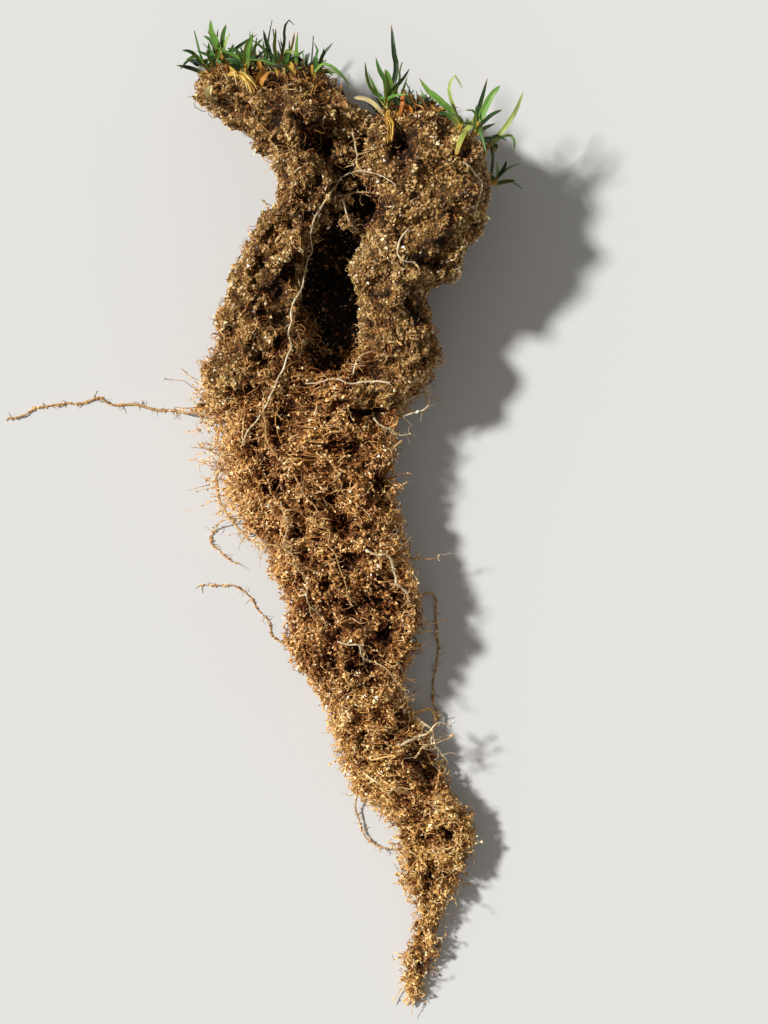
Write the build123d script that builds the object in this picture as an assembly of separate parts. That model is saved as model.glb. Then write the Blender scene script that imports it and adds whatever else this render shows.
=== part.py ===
from build123d import *
import math
import os

os.makedirs("parts", exist_ok=True)

# A turf plug lying on its side: two sandy soil columns with grass at one end, split by a cleft,
# and a felt of roots below them that thins out into a tail.
# +Y runs from the root tip to the grass, +X is to the right seen from above, and +Z is up.
# The origin is on the floor under the root mat. All sizes are in millimetres.

# Soil columns
left_column_length = 42.9
left_column_width = 21.1
left_column_height = 22.0
right_column_length = 37.1
right_column_width = 18.4
right_column_height = 23.0
mat_top = 9.3            # from the origin to the plane where both columns grow out of the mat

# Soil left at the bottom of the cleft, which ties the two columns together
cleft_length = 36.0
cleft_width = 13.0
cleft_soil_height = 14.0

# Root mat and the tail that hangs from it
mat_length = 46.4
mat_width = 31.4
mat_height = 15.0
tail_length = 43.6
tail_width = 14.0
tail_height = 9.3

# Pits in the soil
pit_radius = 2.6
pit_depth = 1.9

# Grass and dead leaf sheaths
blade_width = 1.1
blade_thickness = 0.34
shoot_thickness = 1.5
sheath_width = 1.3
sheath_thickness = 0.5
runner_thickness = 0.8

# Roots that stand clear of the mat
main_root = 0.72
side_root = 0.5
fine_root = 0.4

# How the lumps are drawn
ring_corners = 28        # corners of one cross-section
rings_per_station = 2    # cross-sections from one outline station to the next
wave_depth = 0.055       # height of one wave of lumps, as a share of the section
root_step = 1.6          # longest straight run of a root or stem


def lerp(a, b, share):
    """The value a share of the way from a to b."""
    return a + (b - a) * share


def eased(share):
    """Half a cosine wave from 0 to 1, level at both ends."""
    return 0.5 - 0.5 * math.cos(math.pi * share)


def lumpiness(angle, share, length):
    """Lumps and hollows about 6 mm apart: three waves that cross, weaker towards the underside."""
    along = length * share
    waves = (
        math.sin(7 * angle + 0.28 * along)
        + math.sin(5 * angle - 0.86 * along)
        + math.sin(2 * angle + 1.02 * along)
    )
    return wave_depth * waves * (0.6 + 0.4 * math.sin(angle))


class Lump:
    """A long irregular lump that lies flat on the floor.

    Each station of its outline gives the share of the length, the place of the held edge or
    centre line in mm, and the shares of the width and the height that the lump has there.
    hold is 0 where the left edge is given, 1 for the right edge and 0.5 for the centre line.
    """

    def __init__(self, start, length, width, height, hold, outline):
        self.start = start
        self.length = length
        self.width = width
        self.height = height
        self.hold = hold
        self.outline = outline
        self.rings = []
        for k in range(len(outline) - 1):
            for step in range(rings_per_station):
                self.rings.append(self.ring(k, step / rings_per_station))
        self.rings.append(self.ring(len(outline) - 2, 1.0))

    def ring(self, k, part):
        """One cross-section: a squared oval whose underside dips below the floor."""
        near, far = self.outline[k], self.outline[k + 1]
        share = lerp(near[0], far[0], part)
        held = lerp(near[1], far[1], eased(part))
        wide = self.width * lerp(near[2], far[2], eased(part))
        high = self.height * lerp(near[3], far[3], eased(part))
        centre = held + wide * (0.5 - self.hold)
        y = self.start + self.length * share
        corners = []
        for n in range(ring_corners):
            angle = 2 * math.pi * n / ring_corners
            across = math.copysign(abs(math.cos(angle)) ** 0.8, math.cos(angle))
            rise = math.copysign(abs(math.sin(angle)) ** 0.8, math.sin(angle))
            swell = 1 + lumpiness(angle, share, self.length)
            belly = 0.42 * high
            reach = high - belly if rise > 0 else 1.28 * belly
            corners.append(Vector(centre + across * swell * wide / 2, y, belly + rise * swell * reach))
        return share, corners

    def corners_at(self, share):
        """The cross-section at any share of the length, straight between its two rings."""
        share = min(max(share, 0.0), 1.0)
        k = 0
        while k < len(self.rings) - 2 and self.rings[k + 1][0] < share:
            k += 1
        (before, near), (after, far) = self.rings[k], self.rings[k + 1]
        part = (share - before) / (after - before)
        return [a + (b - a) * part for a, b in zip(near, far)]

    def top(self, share, across, lift=0.0):
        """A point on the upper side. across is 0 at the left edge and 1 at the right edge."""
        corners = self.corners_at(share)
        upper = corners[: ring_corners // 2 + 1]
        x = lerp(upper[-1].X, upper[0].X, min(max(across, 0.03), 0.97))
        for right, left in zip(upper, upper[1:]):
            if left.X <= x <= right.X:
                z = lerp(left.Z, right.Z, (x - left.X) / (right.X - left.X))
                return Vector(x, corners[0].Y, z + lift)
        return Vector(x, corners[0].Y, lift)

    def inside(self, share, across, up):
        """A point inside the lump, the share up of the way from the floor to the upper side."""
        surface = self.top(share, across)
        return Vector(surface.X, surface.Y, surface.Z * up)

    def solid(self):
        """The lump, cut flat where it rests on the floor."""
        wires = [Wire.make_polygon(corners, close=True) for _, corners in self.rings]
        body = Solid.make_loft(wires, ruled=True)
        reach = body.bounding_box().size.length
        room = Box(2 * reach, 2 * reach, reach, align=(Align.CENTER, Align.CENTER, Align.MIN))
        middle = self.corners_at(0.5)[0]
        return body & room.moved(Location((middle.X, middle.Y, 0)))


def smooth_line(points, step):
    """Points along a smooth line through the given ones, none further apart than step."""
    line = []
    last = len(points) - 1
    for k in range(last):
        before = points[max(k - 1, 0)]
        near, far = points[k], points[k + 1]
        after = points[min(k + 2, last)]
        pieces = max(1, math.ceil((far - near).length / step))
        for n in range(pieces):
            s = n / pieces
            slope_in = (far - before) * 0.5
            slope_out = (after - near) * 0.5
            line.append(
                near * (2 * s**3 - 3 * s**2 + 1)
                + slope_in * (s**3 - 2 * s**2 + s)
                + far * (3 * s**2 - 2 * s**3)
                + slope_out * (s**3 - s**2)
            )
    line.append(points[-1])
    return line


def strand(points, width, thickness, sides, tip):
    """A ribbon or a thread along the points, lying flat, that narrows to the share tip."""
    wires = []
    for k, point in enumerate(points):
        ahead = points[min(k + 1, len(points) - 1)]
        behind = points[max(k - 1, 0)]
        along = (ahead - behind).normalized()
        flat = Vector(-along.Y, along.X, 0)
        side = flat.normalized() if flat.length > 0.05 else Vector(1, 0, 0)
        upward = along.cross(side)
        share = k / (len(points) - 1)
        size = lerp(1.0, tip, share**3)
        ring = []
        for n in range(sides):
            angle = 2 * math.pi * n / sides
            ring.append(
                point
                + side * (math.cos(angle) * width * size / 2)
                + upward * (math.sin(angle) * thickness * size / 2)
            )
        wires.append(Wire.make_polygon(ring, close=True))
    return Solid.make_loft(wires, ruled=True)


def thread(points, thickness, tip=0.5):
    """A round root or stem along the points."""
    return strand(smooth_line(points, root_step), thickness, thickness, 6, tip)


def surface_root(stretches, thickness, bury=0.15):
    """A root pressed into the surface. Each stretch is a lump with (share, across) points."""
    points = []
    for lump, places in stretches:
        for k, (share, across) in enumerate(places):
            if k > 0:
                was_share, was_across = places[k - 1]
                run = (lump.top(share, across) - lump.top(was_share, was_across)).length
                pieces = max(1, math.ceil(run / root_step))
                for n in range(1, pieces):
                    between = n / pieces
                    points.append(
                        lump.top(
                            lerp(was_share, share, between),
                            lerp(was_across, across, between),
                            thickness * bury,
                        )
                    )
            points.append(lump.top(share, across, thickness * bury))
    return strand(points, thickness, thickness, 6, 0.6)


def loose_root(lump, share, across, up, offsets, thickness, tip=0.5):
    """A root that leaves the lump and lies on the floor where its height is given as 0."""
    base = lump.inside(share, across, up)
    points = [base]
    for dx, dy, height in offsets:
        points.append(Vector(base.X + dx, base.Y + dy, max(height, thickness / 2)))
    return thread(points, thickness, tip)


def shoot(lump, share, across, up, reach, blades):
    """One grass shoot: a short stem out of the soil and the blades that fan out of its end."""
    base = lump.inside(share, across, up)
    crown = base + Vector(*reach)
    stem = strand([base, lerp(base, crown, 0.55), crown], shoot_thickness, shoot_thickness, 8, 0.55)
    for width_share, offsets in blades:
        points = [lerp(base, crown, 0.86)] + [crown + Vector(*offset) for offset in offsets]
        line = smooth_line(points, root_step)
        stem += strand(line, blade_width * width_share, blade_thickness, 4, 0.25)
    return stem


# Outline stations, from the plane at the top of the root mat to the grass:
# share of the length, inner edge beside the cleft in mm, share of the width, share of the height
left_outline = [
    (0.00, -5.7, 0.68, 0.73),
    (0.10, -4.6, 0.66, 0.77),
    (0.18, -4.4, 0.64, 0.80),
    (0.25, -6.0, 0.54, 0.82),
    (0.34, -5.7, 0.48, 0.84),
    (0.41, -4.7, 0.46, 0.86),
    (0.50, -2.1, 0.49, 0.90),
    (0.57, -1.3, 0.42, 0.93),
    (0.63, -0.7, 0.40, 0.95),
    (0.71, 0.0, 0.48, 0.98),
    (0.78, 0.7, 0.65, 1.00),
    (0.86, 0.7, 0.84, 0.99),
    (0.92, 0.0, 1.00, 0.94),
    (1.00, -3.3, 0.83, 0.72),
]
right_outline = [
    (0.00, 0.7, 0.62, 0.70),
    (0.09, 2.0, 0.63, 0.72),
    (0.16, 2.1, 0.57, 0.74),
    (0.25, 2.3, 0.53, 0.77),
    (0.33, 1.6, 0.54, 0.81),
    (0.37, 1.1, 0.80, 0.93),
    (0.44, 1.1, 0.86, 0.96),
    (0.50, 2.6, 0.82, 0.98),
    (0.58, 2.0, 0.96, 1.00),
    (0.65, 1.8, 1.00, 1.00),
    (0.78, 1.6, 1.01, 0.99),
    (0.87, 2.2, 0.95, 0.95),
    (0.96, 3.9, 0.65, 0.85),
    (1.00, 5.7, 0.43, 0.68),
]

# The same with the centre line in place of the edge, for the soil in the cleft
cleft_outline = [
    (0.00, -1.2, 1.00, 0.62),
    (0.18, -0.9, 1.00, 0.52),
    (0.36, -1.0, 1.00, 0.50),
    (0.48, 0.2, 1.00, 0.66),
    (0.56, 1.2, 0.95, 0.92),
    (0.70, 1.4, 0.85, 1.00),
    (0.86, 1.9, 0.80, 0.98),
    (1.00, 2.6, 0.55, 0.72),
]

# Outline stations from the columns down to the root tip, again with the centre line
mat_outline = [
    (0.00, -4.3, 1.00, 1.00),
    (0.08, -5.7, 0.88, 1.00),
    (0.17, -4.9, 0.77, 0.97),
    (0.26, -5.2, 0.76, 0.95),
    (0.38, -4.4, 0.75, 0.93),
    (0.48, -2.9, 0.68, 0.93),
    (0.57, -0.8, 0.62, 0.92),
    (0.66, 0.4, 0.61, 0.92),
    (0.75, 1.4, 0.61, 0.90),
    (0.83, 0.7, 0.60, 0.86),
    (0.91, 0.9, 0.49, 0.76),
    (1.00, 2.1, 0.35, 0.62),
]
tail_outline = [
    (0.00, 2.1, 0.78, 1.00),
    (0.08, 4.3, 0.88, 0.97),
    (0.15, 5.4, 0.96, 0.93),
    (0.21, 6.3, 1.00, 0.90),
    (0.29, 7.9, 0.98, 0.85),
    (0.34, 9.3, 0.90, 0.82),
    (0.39, 11.9, 0.82, 0.78),
    (0.47, 12.7, 0.82, 0.74),
    (0.53, 12.9, 0.69, 0.70),
    (0.61, 12.4, 0.61, 0.62),
    (0.67, 12.2, 0.32, 0.50),
    (0.74, 11.6, 0.24, 0.42),
    (0.80, 11.4, 0.26, 0.38),
    (0.87, 10.8, 0.32, 0.36),
    (0.93, 10.2, 0.28, 0.30),
    (1.00, 9.9, 0.12, 0.22),
]

left = Lump(mat_top, left_column_length, left_column_width, left_column_height, 1, left_outline)
right = Lump(mat_top, right_column_length, right_column_width, right_column_height, 0, right_outline)
cleft = Lump(mat_top, cleft_length, cleft_width, cleft_soil_height, 0.5, cleft_outline)
mat = Lump(mat_top, -mat_length, mat_width, mat_height, 0.5, mat_outline)
tail = Lump(mat_top - mat_length, -tail_length, tail_width, tail_height, 0.5, tail_outline)


def with_pits(body, lump, places):
    """The body with a round pit sunk into the upper side of its lump at each (share, across)."""
    for share, across in places:
        centre = lump.top(share, across, pit_radius - pit_depth)
        body -= Sphere(pit_radius).moved(Location(centre))
    return body


# The soil in the cleft is one with the left column, and the right column stands against it
cleft_soil = cleft.solid()
nodes = {
    "left_soil_column": with_pits(left.solid() + cleft_soil, left, [(0.76, 0.72), (0.88, 0.62)]),
    "right_soil_column": with_pits(right.solid() - cleft_soil, right, [(0.83, 0.36), (0.62, 0.14)]),
    "root_mat": mat.solid(),
    "root_tail": tail.solid(),
}

# Grass, from the left corner to the right: stem root, stem reach, then blades as a share of the
# blade width and points from the end of the stem
nodes["grass_left_corner"] = shoot(left, 0.95, 0.10, 0.55, (-1.1, 4.3, 1.0), [
    (1.0, [(-1.7, -0.4, 0.9), (-3.3, -1.7, 0.7)]),
    (0.6, [(-1.6, 0.7, 1.4), (-3.1, 0.8, 2.0)]),
    (0.6, [(-0.7, 1.8, 1.5), (-1.1, 3.6, 2.6)]),
])
nodes["grass_left_front"] = shoot(left, 0.97, 0.18, 0.70, (0.0, 4.3, 1.5), [
    (1.0, [(-0.9, 1.3, 0.9), (-1.4, 2.3, 1.5), (-1.4, 3.9, 2.1)]),
    (0.6, [(-1.3, 0.9, 0.2), (-2.7, 2.0, 0.5)]),
    (0.7, [(0.1, 1.5, 0.9), (0.5, 3.4, 2.4)]),
])
nodes["grass_left"] = shoot(left, 0.93, 0.36, 0.80, (0.0, 3.6, 1.5), [
    (1.0, [(0.4, 1.7, 1.2), (1.0, 3.1, 2.0), (1.1, 3.8, 2.2)]),
    (0.5, [(1.2, 1.8, 0.3), (2.9, 3.6, 0.7)]),
    (0.8, [(-1.2, 0.1, 0.5), (-3.0, 0.4, 0.3)]),
])
nodes["grass_middle_left"] = shoot(left, 0.93, 0.58, 0.80, (0.0, 3.7, 1.2), [
    (0.8, [(-0.4, 1.6, 1.2), (-0.3, 2.8, 1.9), (0.1, 4.3, 2.6)]),
    (0.5, [(1.0, 1.4, 0.5), (2.0, 1.4, 0.8), (2.8, 1.2, 0.8)]),
    (0.5, [(0.9, 2.2, 1.5), (1.1, 4.2, 2.4), (1.9, 5.4, 2.6), (2.5, 4.8, 2.3)]),
])
nodes["grass_arching"] = shoot(left, 0.90, 0.80, 0.80, (-0.3, 5.0, 0.6), [
    (0.9, [(1.3, -0.4, 1.5), (2.7, -1.1, 2.0), (4.0, -2.1, 2.0), (5.4, -3.3, 1.5)]),
    (0.5, [(0.6, 1.2, 0.9), (0.9, 2.0, 1.3), (0.4, 2.9, 1.7)]),
    (0.5, [(1.3, 1.1, 0.2), (2.1, 2.1, 0.3), (2.8, 3.0, 0.4)]),
])
nodes["grass_centre"] = shoot(right, 0.93, 0.18, 0.80, (-0.2, 4.0, 1.2), [
    (0.9, [(-1.1, 0.2, 0.6), (-1.9, 0.8, 1.1), (-2.6, 2.0, 1.7), (-3.0, 3.6, 2.2), (-3.1, 4.9, 2.5)]),
    (0.8, [(-0.2, 2.4, 0.8), (-1.0, 3.9, 1.4), (-1.6, 5.6, 2.0)]),
    (1.4, [(0.2, 2.0, 2.0), (-0.3, 4.0, 3.0)]),
    (0.8, [(1.1, 2.9, 0.5), (1.3, 4.9, 1.0), (1.0, 6.6, 1.5), (0.7, 10.1, 2.0)]),
    (0.7, [(1.6, 2.2, 1.6), (1.6, 3.4, 2.2), (2.2, 4.9, 3.0)]),
])
nodes["grass_right_middle"] = shoot(right, 0.87, 0.78, 0.85, (0.3, 2.7, 1.2), [
    (1.0, [(-1.4, 1.4, 1.0), (-2.4, 2.1, 1.6), (-3.7, 3.3, 2.0), (-5.0, 4.4, 2.2), (-6.0, 5.9, 2.2)]),
    (0.5, [(-0.8, 1.9, 0.0), (-1.5, 3.6, 0.5), (-1.5, 5.0, 0.9), (-0.9, 6.2, 1.2), (0.3, 4.4, 0.8)]),
])
nodes["grass_right"] = shoot(right, 0.84, 0.86, 0.85, (1.5, 4.0, 1.2), [
    (1.0, [(1.4, 2.7, 0.8), (3.0, 4.7, 1.3)]),
    (0.6, [(-0.7, 1.0, 0.9), (-1.8, 1.3, 1.2)]),
])
nodes["grass_far_right"] = shoot(right, 0.80, 0.95, 0.60, (1.3, 3.2, 0.8), [
    (0.7, [(2.1, 1.8, 1.0), (2.8, 2.7, 1.3), (4.0, 4.4, 1.8), (5.1, 7.0, 2.0)]),
    (0.5, [(2.0, 0.9, -0.2), (3.2, 1.0, -0.1), (3.8, 0.2, -0.2), (3.8, -0.9, -0.5)]),
])
nodes["grass_low_right"] = shoot(right, 0.73, 0.95, 0.60, (1.9, 0.8, 0.3), [
    (0.6, [(1.4, 1.5, 0.3), (3.1, 2.3, 0.5)]),
    (0.5, [(1.6, -0.2, -0.3), (3.4, -1.1, -0.6)]),
])

# Yellow stems and dead sheaths that lie on the soil
nodes["yellow_runners"] = Compound(children=[
    surface_root([(left, [(0.98, 0.24), (0.97, 0.34), (0.94, 0.40), (0.91, 0.43)])], runner_thickness),
    surface_root([(right, [(0.99, 0.10), (0.96, 0.17), (0.92, 0.22), (0.86, 0.24)])], runner_thickness),
])
nodes["dead_sheaths"] = Compound(children=[
    strand(
        [left.inside(0.93, 0.44, 0.92), left.top(0.955, 0.47, 0.7), left.top(0.985, 0.53, 1.2)],
        sheath_width, sheath_thickness, 4, 0.5),
    strand(
        [right.inside(0.95, 0.42, 0.92), right.top(0.985, 0.40, 0.9), right.top(1.0, 0.34, 2.4)],
        sheath_width, sheath_thickness, 4, 0.6),
    strand(
        [left.inside(0.90, 0.12, 0.92), left.top(0.91, 0.14, 0.5), left.top(0.925, 0.16, 0.8)],
        sheath_width, sheath_thickness, 4, 0.6),
])

# Roots pressed into the soil and the mat
nodes["long_white_root"] = surface_root([
    (left, [(0.62, 0.93), (0.57, 0.87), (0.51, 0.82), (0.45, 0.86), (0.40, 0.88), (0.33, 0.88),
            (0.28, 0.88), (0.22, 0.83), (0.17, 0.77), (0.12, 0.76), (0.08, 0.79), (0.02, 0.79)]),
    (mat, [(0.03, 0.35), (0.08, 0.32), (0.12, 0.26), (0.16, 0.17), (0.20, 0.12)]),
], main_root)
nodes["cross_root"] = surface_root([
    (mat, [(0.03, 0.87), (0.025, 0.78), (0.03, 0.68), (0.02, 0.60), (0.03, 0.53), (0.03, 0.46)]),
], side_root)
nodes["curled_root"] = surface_root([
    (right, [(0.54, 0.40), (0.49, 0.37), (0.44, 0.42), (0.41, 0.50), (0.405, 0.58), (0.38, 0.64)]),
], side_root)
nodes["edge_root"] = surface_root([
    (right, [(0.78, 0.80), (0.73, 0.89), (0.68, 0.93), (0.63, 0.93), (0.59, 0.90)]),
], side_root)

# Loose roots, as offsets from the place where each leaves the mat or the tail, with their height
nodes["stray_left_root"] = loose_root(mat, 0.12, 0.08, 0.45, [
    (-3.5, 0.3, 3.0), (-6.5, 0.3, 0.8), (-8.5, 0.6, 0), (-12.3, 1.0, 0), (-14.0, 1.6, 0),
    (-17.2, 1.7, 0), (-19.0, 2.7, 0), (-20.6, 2.2, 0), (-23.2, 1.9, 0), (-26.2, 1.6, 0),
    (-28.9, 0.9, 0), (-30.2, -0.2, 0), (-32.4, -0.3, 0),
], side_root)
nodes["net_loop_upper"] = loose_root(mat, 0.16, 0.05, 0.45, [
    (-1.6, -0.2, 4.6), (-2.7, -0.7, 4.2), (-2.6, -2.2, 4.0), (-1.2, -3.9, 4.2), (1.2, -4.6, 4.6),
], side_root, 0.8)
nodes["net_loop_lower"] = loose_root(mat, 0.29, 0.05, 0.45, [
    (-1.8, 0.0, 4.2), (-2.9, -0.6, 3.8), (-2.7, -2.6, 3.4), (-2.1, -5.2, 3.2), (-0.9, -7.4, 3.2),
    (0.9, -9.2, 3.4), (2.4, -10.2, 3.8), (5.4, -10.9, 4.4), (8.0, -11.0, 4.8),
], side_root, 0.8)
nodes["left_hanging_root"] = loose_root(mat, 0.45, 0.06, 0.30, [
    (-4.6, 0.2, 1.6), (-6.6, -1.6, 0), (-6.9, -3.0, 0), (-6.0, -4.3, 0), (-4.6, -5.5, 0), (-2.8, -6.2, 0),
], fine_root)
nodes["left_low_root"] = loose_root(mat, 0.85, 0.08, 0.30, [
    (-1.8, 0.5, 1.4), (-3.3, 1.0, 0), (-4.3, 2.0, 0), (-4.6, 3.7, 0), (-6.0, 5.2, 0), (-7.4, 7.4, 0),
    (-9.4, 8.8, 0), (-11.8, 9.3, 0), (-15.0, 9.3, 0),
], fine_root)
nodes["right_hanging_root"] = loose_root(mat, 0.70, 0.94, 0.40, [
    (1.6, 0.7, 3.0), (3.1, 0.9, 1.6), (4.2, -0.2, 0.6), (4.0, -2.8, 0), (4.4, -5.0, 0), (4.5, -7.6, 0),
    (4.1, -10.0, 0), (3.6, -13.6, 0), (4.6, -17.6, 0),
], fine_root)
nodes["tail_left_strand"] = loose_root(tail, 0.25, 0.10, 0.35, [
    (0.1, -3.2, 1.4), (0.2, -6.2, 0.8), (0.9, -9.2, 0.8), (2.8, -10.9, 1.2), (6.6, -11.5, 2.2),
], side_root, 0.7)
nodes["tail_side_roots"] = loose_root(tail, 0.06, 0.88, 0.50, [
    (1.6, 0.5, 3.4), (3.4, 0.6, 2.6), (4.6, -0.6, 2.0), (4.4, -2.2, 1.6), (2.8, -3.0, 1.8),
], main_root, 0.7)


def touches(a, b):
    """Whether the boxes round two shapes meet."""
    box_a, box_b = a.bounding_box(), b.bounding_box()
    return all(
        low_a <= high_b and low_b <= high_a
        for low_a, high_a, low_b, high_b in zip(box_a.min, box_a.max, box_b.min, box_b.max)
    )


# Grass and roots end at the surface of what they grow from
done = []
for name, shape in nodes.items():
    for body in done:
        if touches(shape, body):
            shape = shape - body
    done.append(shape)
    export_step(shape, f"parts/{name}.step")
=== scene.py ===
import bpy
import numpy as np
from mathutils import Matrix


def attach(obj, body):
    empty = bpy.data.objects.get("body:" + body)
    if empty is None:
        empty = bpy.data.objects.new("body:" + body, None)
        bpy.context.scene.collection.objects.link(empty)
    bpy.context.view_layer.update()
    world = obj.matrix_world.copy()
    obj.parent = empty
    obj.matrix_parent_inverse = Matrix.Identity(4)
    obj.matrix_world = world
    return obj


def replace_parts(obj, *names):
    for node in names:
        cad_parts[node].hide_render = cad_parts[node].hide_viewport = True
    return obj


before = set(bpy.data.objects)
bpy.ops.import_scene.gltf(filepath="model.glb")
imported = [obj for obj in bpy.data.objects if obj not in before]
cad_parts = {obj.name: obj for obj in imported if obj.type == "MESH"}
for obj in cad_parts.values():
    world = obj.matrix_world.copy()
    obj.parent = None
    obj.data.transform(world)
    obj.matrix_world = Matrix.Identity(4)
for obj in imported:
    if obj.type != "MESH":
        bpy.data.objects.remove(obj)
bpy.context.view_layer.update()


# Left soil column. A slab of sandy root zone, wide under the grass and thin at its neck: sand
# grains of about half a millimetre, stuck into crumbs by clay and fine roots. It is worked out
# as a lumpy hull with crumbs and pores, and the sand lies on that hull as separate grains.
left_column = {
    "start": 9.3, "length": 42.9, "width": 21.1, "height": 22.0, "hold": 1.0,
    "outline": [
        (-0.12, -6.4, 0.66, 0.56), (0.00, -5.7, 0.68, 0.73), (0.10, -4.6, 0.66, 0.77),
        (0.18, -4.4, 0.64, 0.80), (0.25, -6.0, 0.54, 0.82), (0.34, -5.7, 0.48, 0.84),
        (0.41, -4.7, 0.46, 0.86), (0.50, -2.1, 0.49, 0.90), (0.57, -1.3, 0.42, 0.93),
        (0.63, -0.7, 0.40, 0.95), (0.71, 0.0, 0.48, 0.98), (0.78, 0.7, 0.65, 1.00),
        (0.86, 0.7, 0.84, 0.99), (0.92, 0.0, 1.00, 0.94), (1.00, -3.3, 0.83, 0.72),
    ],
}
WAVE_DEPTH = 0.055       # height of one wave of lumps, as a share of the section
SQUARENESS = 0.8         # power of sine and cosine in a section: 1 is an oval, less is squarer
BELLY = 0.42             # where a section is widest, as a share of its height
UNDERSIDE = 1.28         # reach below the belly; the floor cuts it off flat
GRID_STEP = 0.5          # mm between the hull's grid lines
LUMP_STEP = 3.4          # mm across the larger lumps
CRUMB_STEP = 1.9         # mm across the crumbs
CRUMB_MEAN = 0.55        # mean of the crumb field, so that crumbs leave the size as it is
GRAIN_STEP = 0.75        # mm across the finest relief of the hull
PORE_STEP = 1.7          # mm from one pore to the next
HOLLOW_STEP = 3.9        # mm from one hollow between crumb walls to the next
BEND = 2.2               # mm that crumbs and pores are shifted by, so that they stand in no rows
END_BULGE = 1.2          # mm that an end bulges out past its last section
CAP = np.array([0.93, 0.8, 0.62, 0.42, 0.22, 0.04])[:, None, None]   # size of an end's rings
OPEN_LIGHT = 0.6         # light at the hull's mean height, as a share of full light


def lumpiness(angle, along):
    """Lumps and hollows about 6 mm apart: three waves that cross, weaker on the underside."""
    first = np.sin(7 * angle + 0.28 * along)
    second = np.sin(5 * angle - 0.86 * along)
    third = np.sin(2 * angle + 1.02 * along)
    return WAVE_DEPTH * (first + second + third) * (0.6 + 0.4 * np.sin(angle))


def section_oval(lump, share, angle):
    """A squared oval: cos and sin of the angle to the power SQUARENESS, swelled by the lumpiness.
    An outline's station has its share of the length, the x of the side that hold names (0 left,
    1 right), and width and height as shares of the lump's, eased by half a cosine in between."""
    rows = np.array(lump["outline"])
    k = np.clip(np.searchsorted(rows[:, 0], share, side="right") - 1, 0, len(rows) - 2)
    part = np.clip((share - rows[k, 0]) / (rows[k + 1, 0] - rows[k, 0]), 0, 1)
    ease = (0.5 - 0.5 * np.cos(np.pi * part))[..., None]
    held, wide, high = np.moveaxis(rows[k, 1:] + (rows[k + 1, 1:] - rows[k, 1:]) * ease, -1, 0)
    wide = wide * lump["width"]
    high = high * lump["height"]
    across, rise = (np.sign(wave) * np.abs(wave) ** SQUARENESS for wave in (np.cos(angle), np.sin(angle)))
    swell = 1 + lump.get("waves", 1.0) * lumpiness(angle, lump["length"] * share)
    belly = BELLY * high
    rise = rise * swell * np.where(rise > 0, high - belly, UNDERSIDE * belly)
    x = held + wide * (0.5 - lump["hold"]) + across * swell * wide / 2
    y = lump["start"] + lump["length"] * share
    return np.stack([x, np.broadcast_to(y, x.shape), belly + rise], -1)


def hashed(cells, seed):
    """A number from 0 to 1 for each whole-number cell, from a sine of a weighted sum."""
    mixed = np.sin(cells @ np.array([12.9898, 78.233, 37.719]) + seed * 4.137) * 43758.5453
    return mixed - np.floor(mixed)


TILT = np.array([(0.76, -0.51, 0.40), (0.57, 0.82, -0.04), (-0.31, 0.26, 0.92)])   # a rotation


def value_noise(points, step, seed):
    """Numbers at the corners of a tilted cubic lattice, blended by a smooth cubic: -1 to 1."""
    at = points @ TILT / step
    cell = np.floor(at)
    f = at - cell
    f = f * f * (3 - 2 * f)
    total = np.zeros(points.shape[:-1])
    for corner in np.ndindex(2, 2, 2):
        weight = np.prod(np.where(np.array(corner) == 1, f, 1 - f), axis=-1)
        total += weight * hashed(cell + np.array(corner), seed)
    return total * 2 - 1


def drift(points, step, seed):
    """Three noises of the same step, as one vector for each point."""
    return np.stack([value_noise(points, step, seed + n) for n in range(3)], -1)


def crumb_field(points, step, seed):
    """Round crumbs: 1 at the middle of the nearest crumb, falling to 0 where two meet."""
    at = points / step
    cell = np.floor(at)
    near = np.full(points.shape[:-1], 9.0)
    second = np.full(points.shape[:-1], 9.0)
    for offset in np.ndindex(3, 3, 3):
        other = cell + np.array(offset) - 1
        centre = other + np.stack([hashed(other, seed + n) for n in range(3)], -1)
        gap = np.linalg.norm(at - centre, axis=-1)
        second = np.minimum(second, np.maximum(near, gap))
        near = np.minimum(near, gap)
    return np.clip((second - near) * 1.6, 0, 1)


def unit(vectors):
    """The vectors at length 1."""
    return vectors / np.maximum(np.linalg.norm(vectors, axis=-1, keepdims=True), 1e-9)


def above(points, height):
    """The points, none of them lower than height mm over the floor."""
    points[..., 2] = np.maximum(points[..., 2], height)
    return points


def grid_normals(points):
    """Normals of a grid that is closed along its second direction."""
    along = np.gradient(points, axis=0)
    around = np.roll(points, -1, axis=1) - np.roll(points, 1, axis=1)
    return unit(np.cross(along, around))


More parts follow.
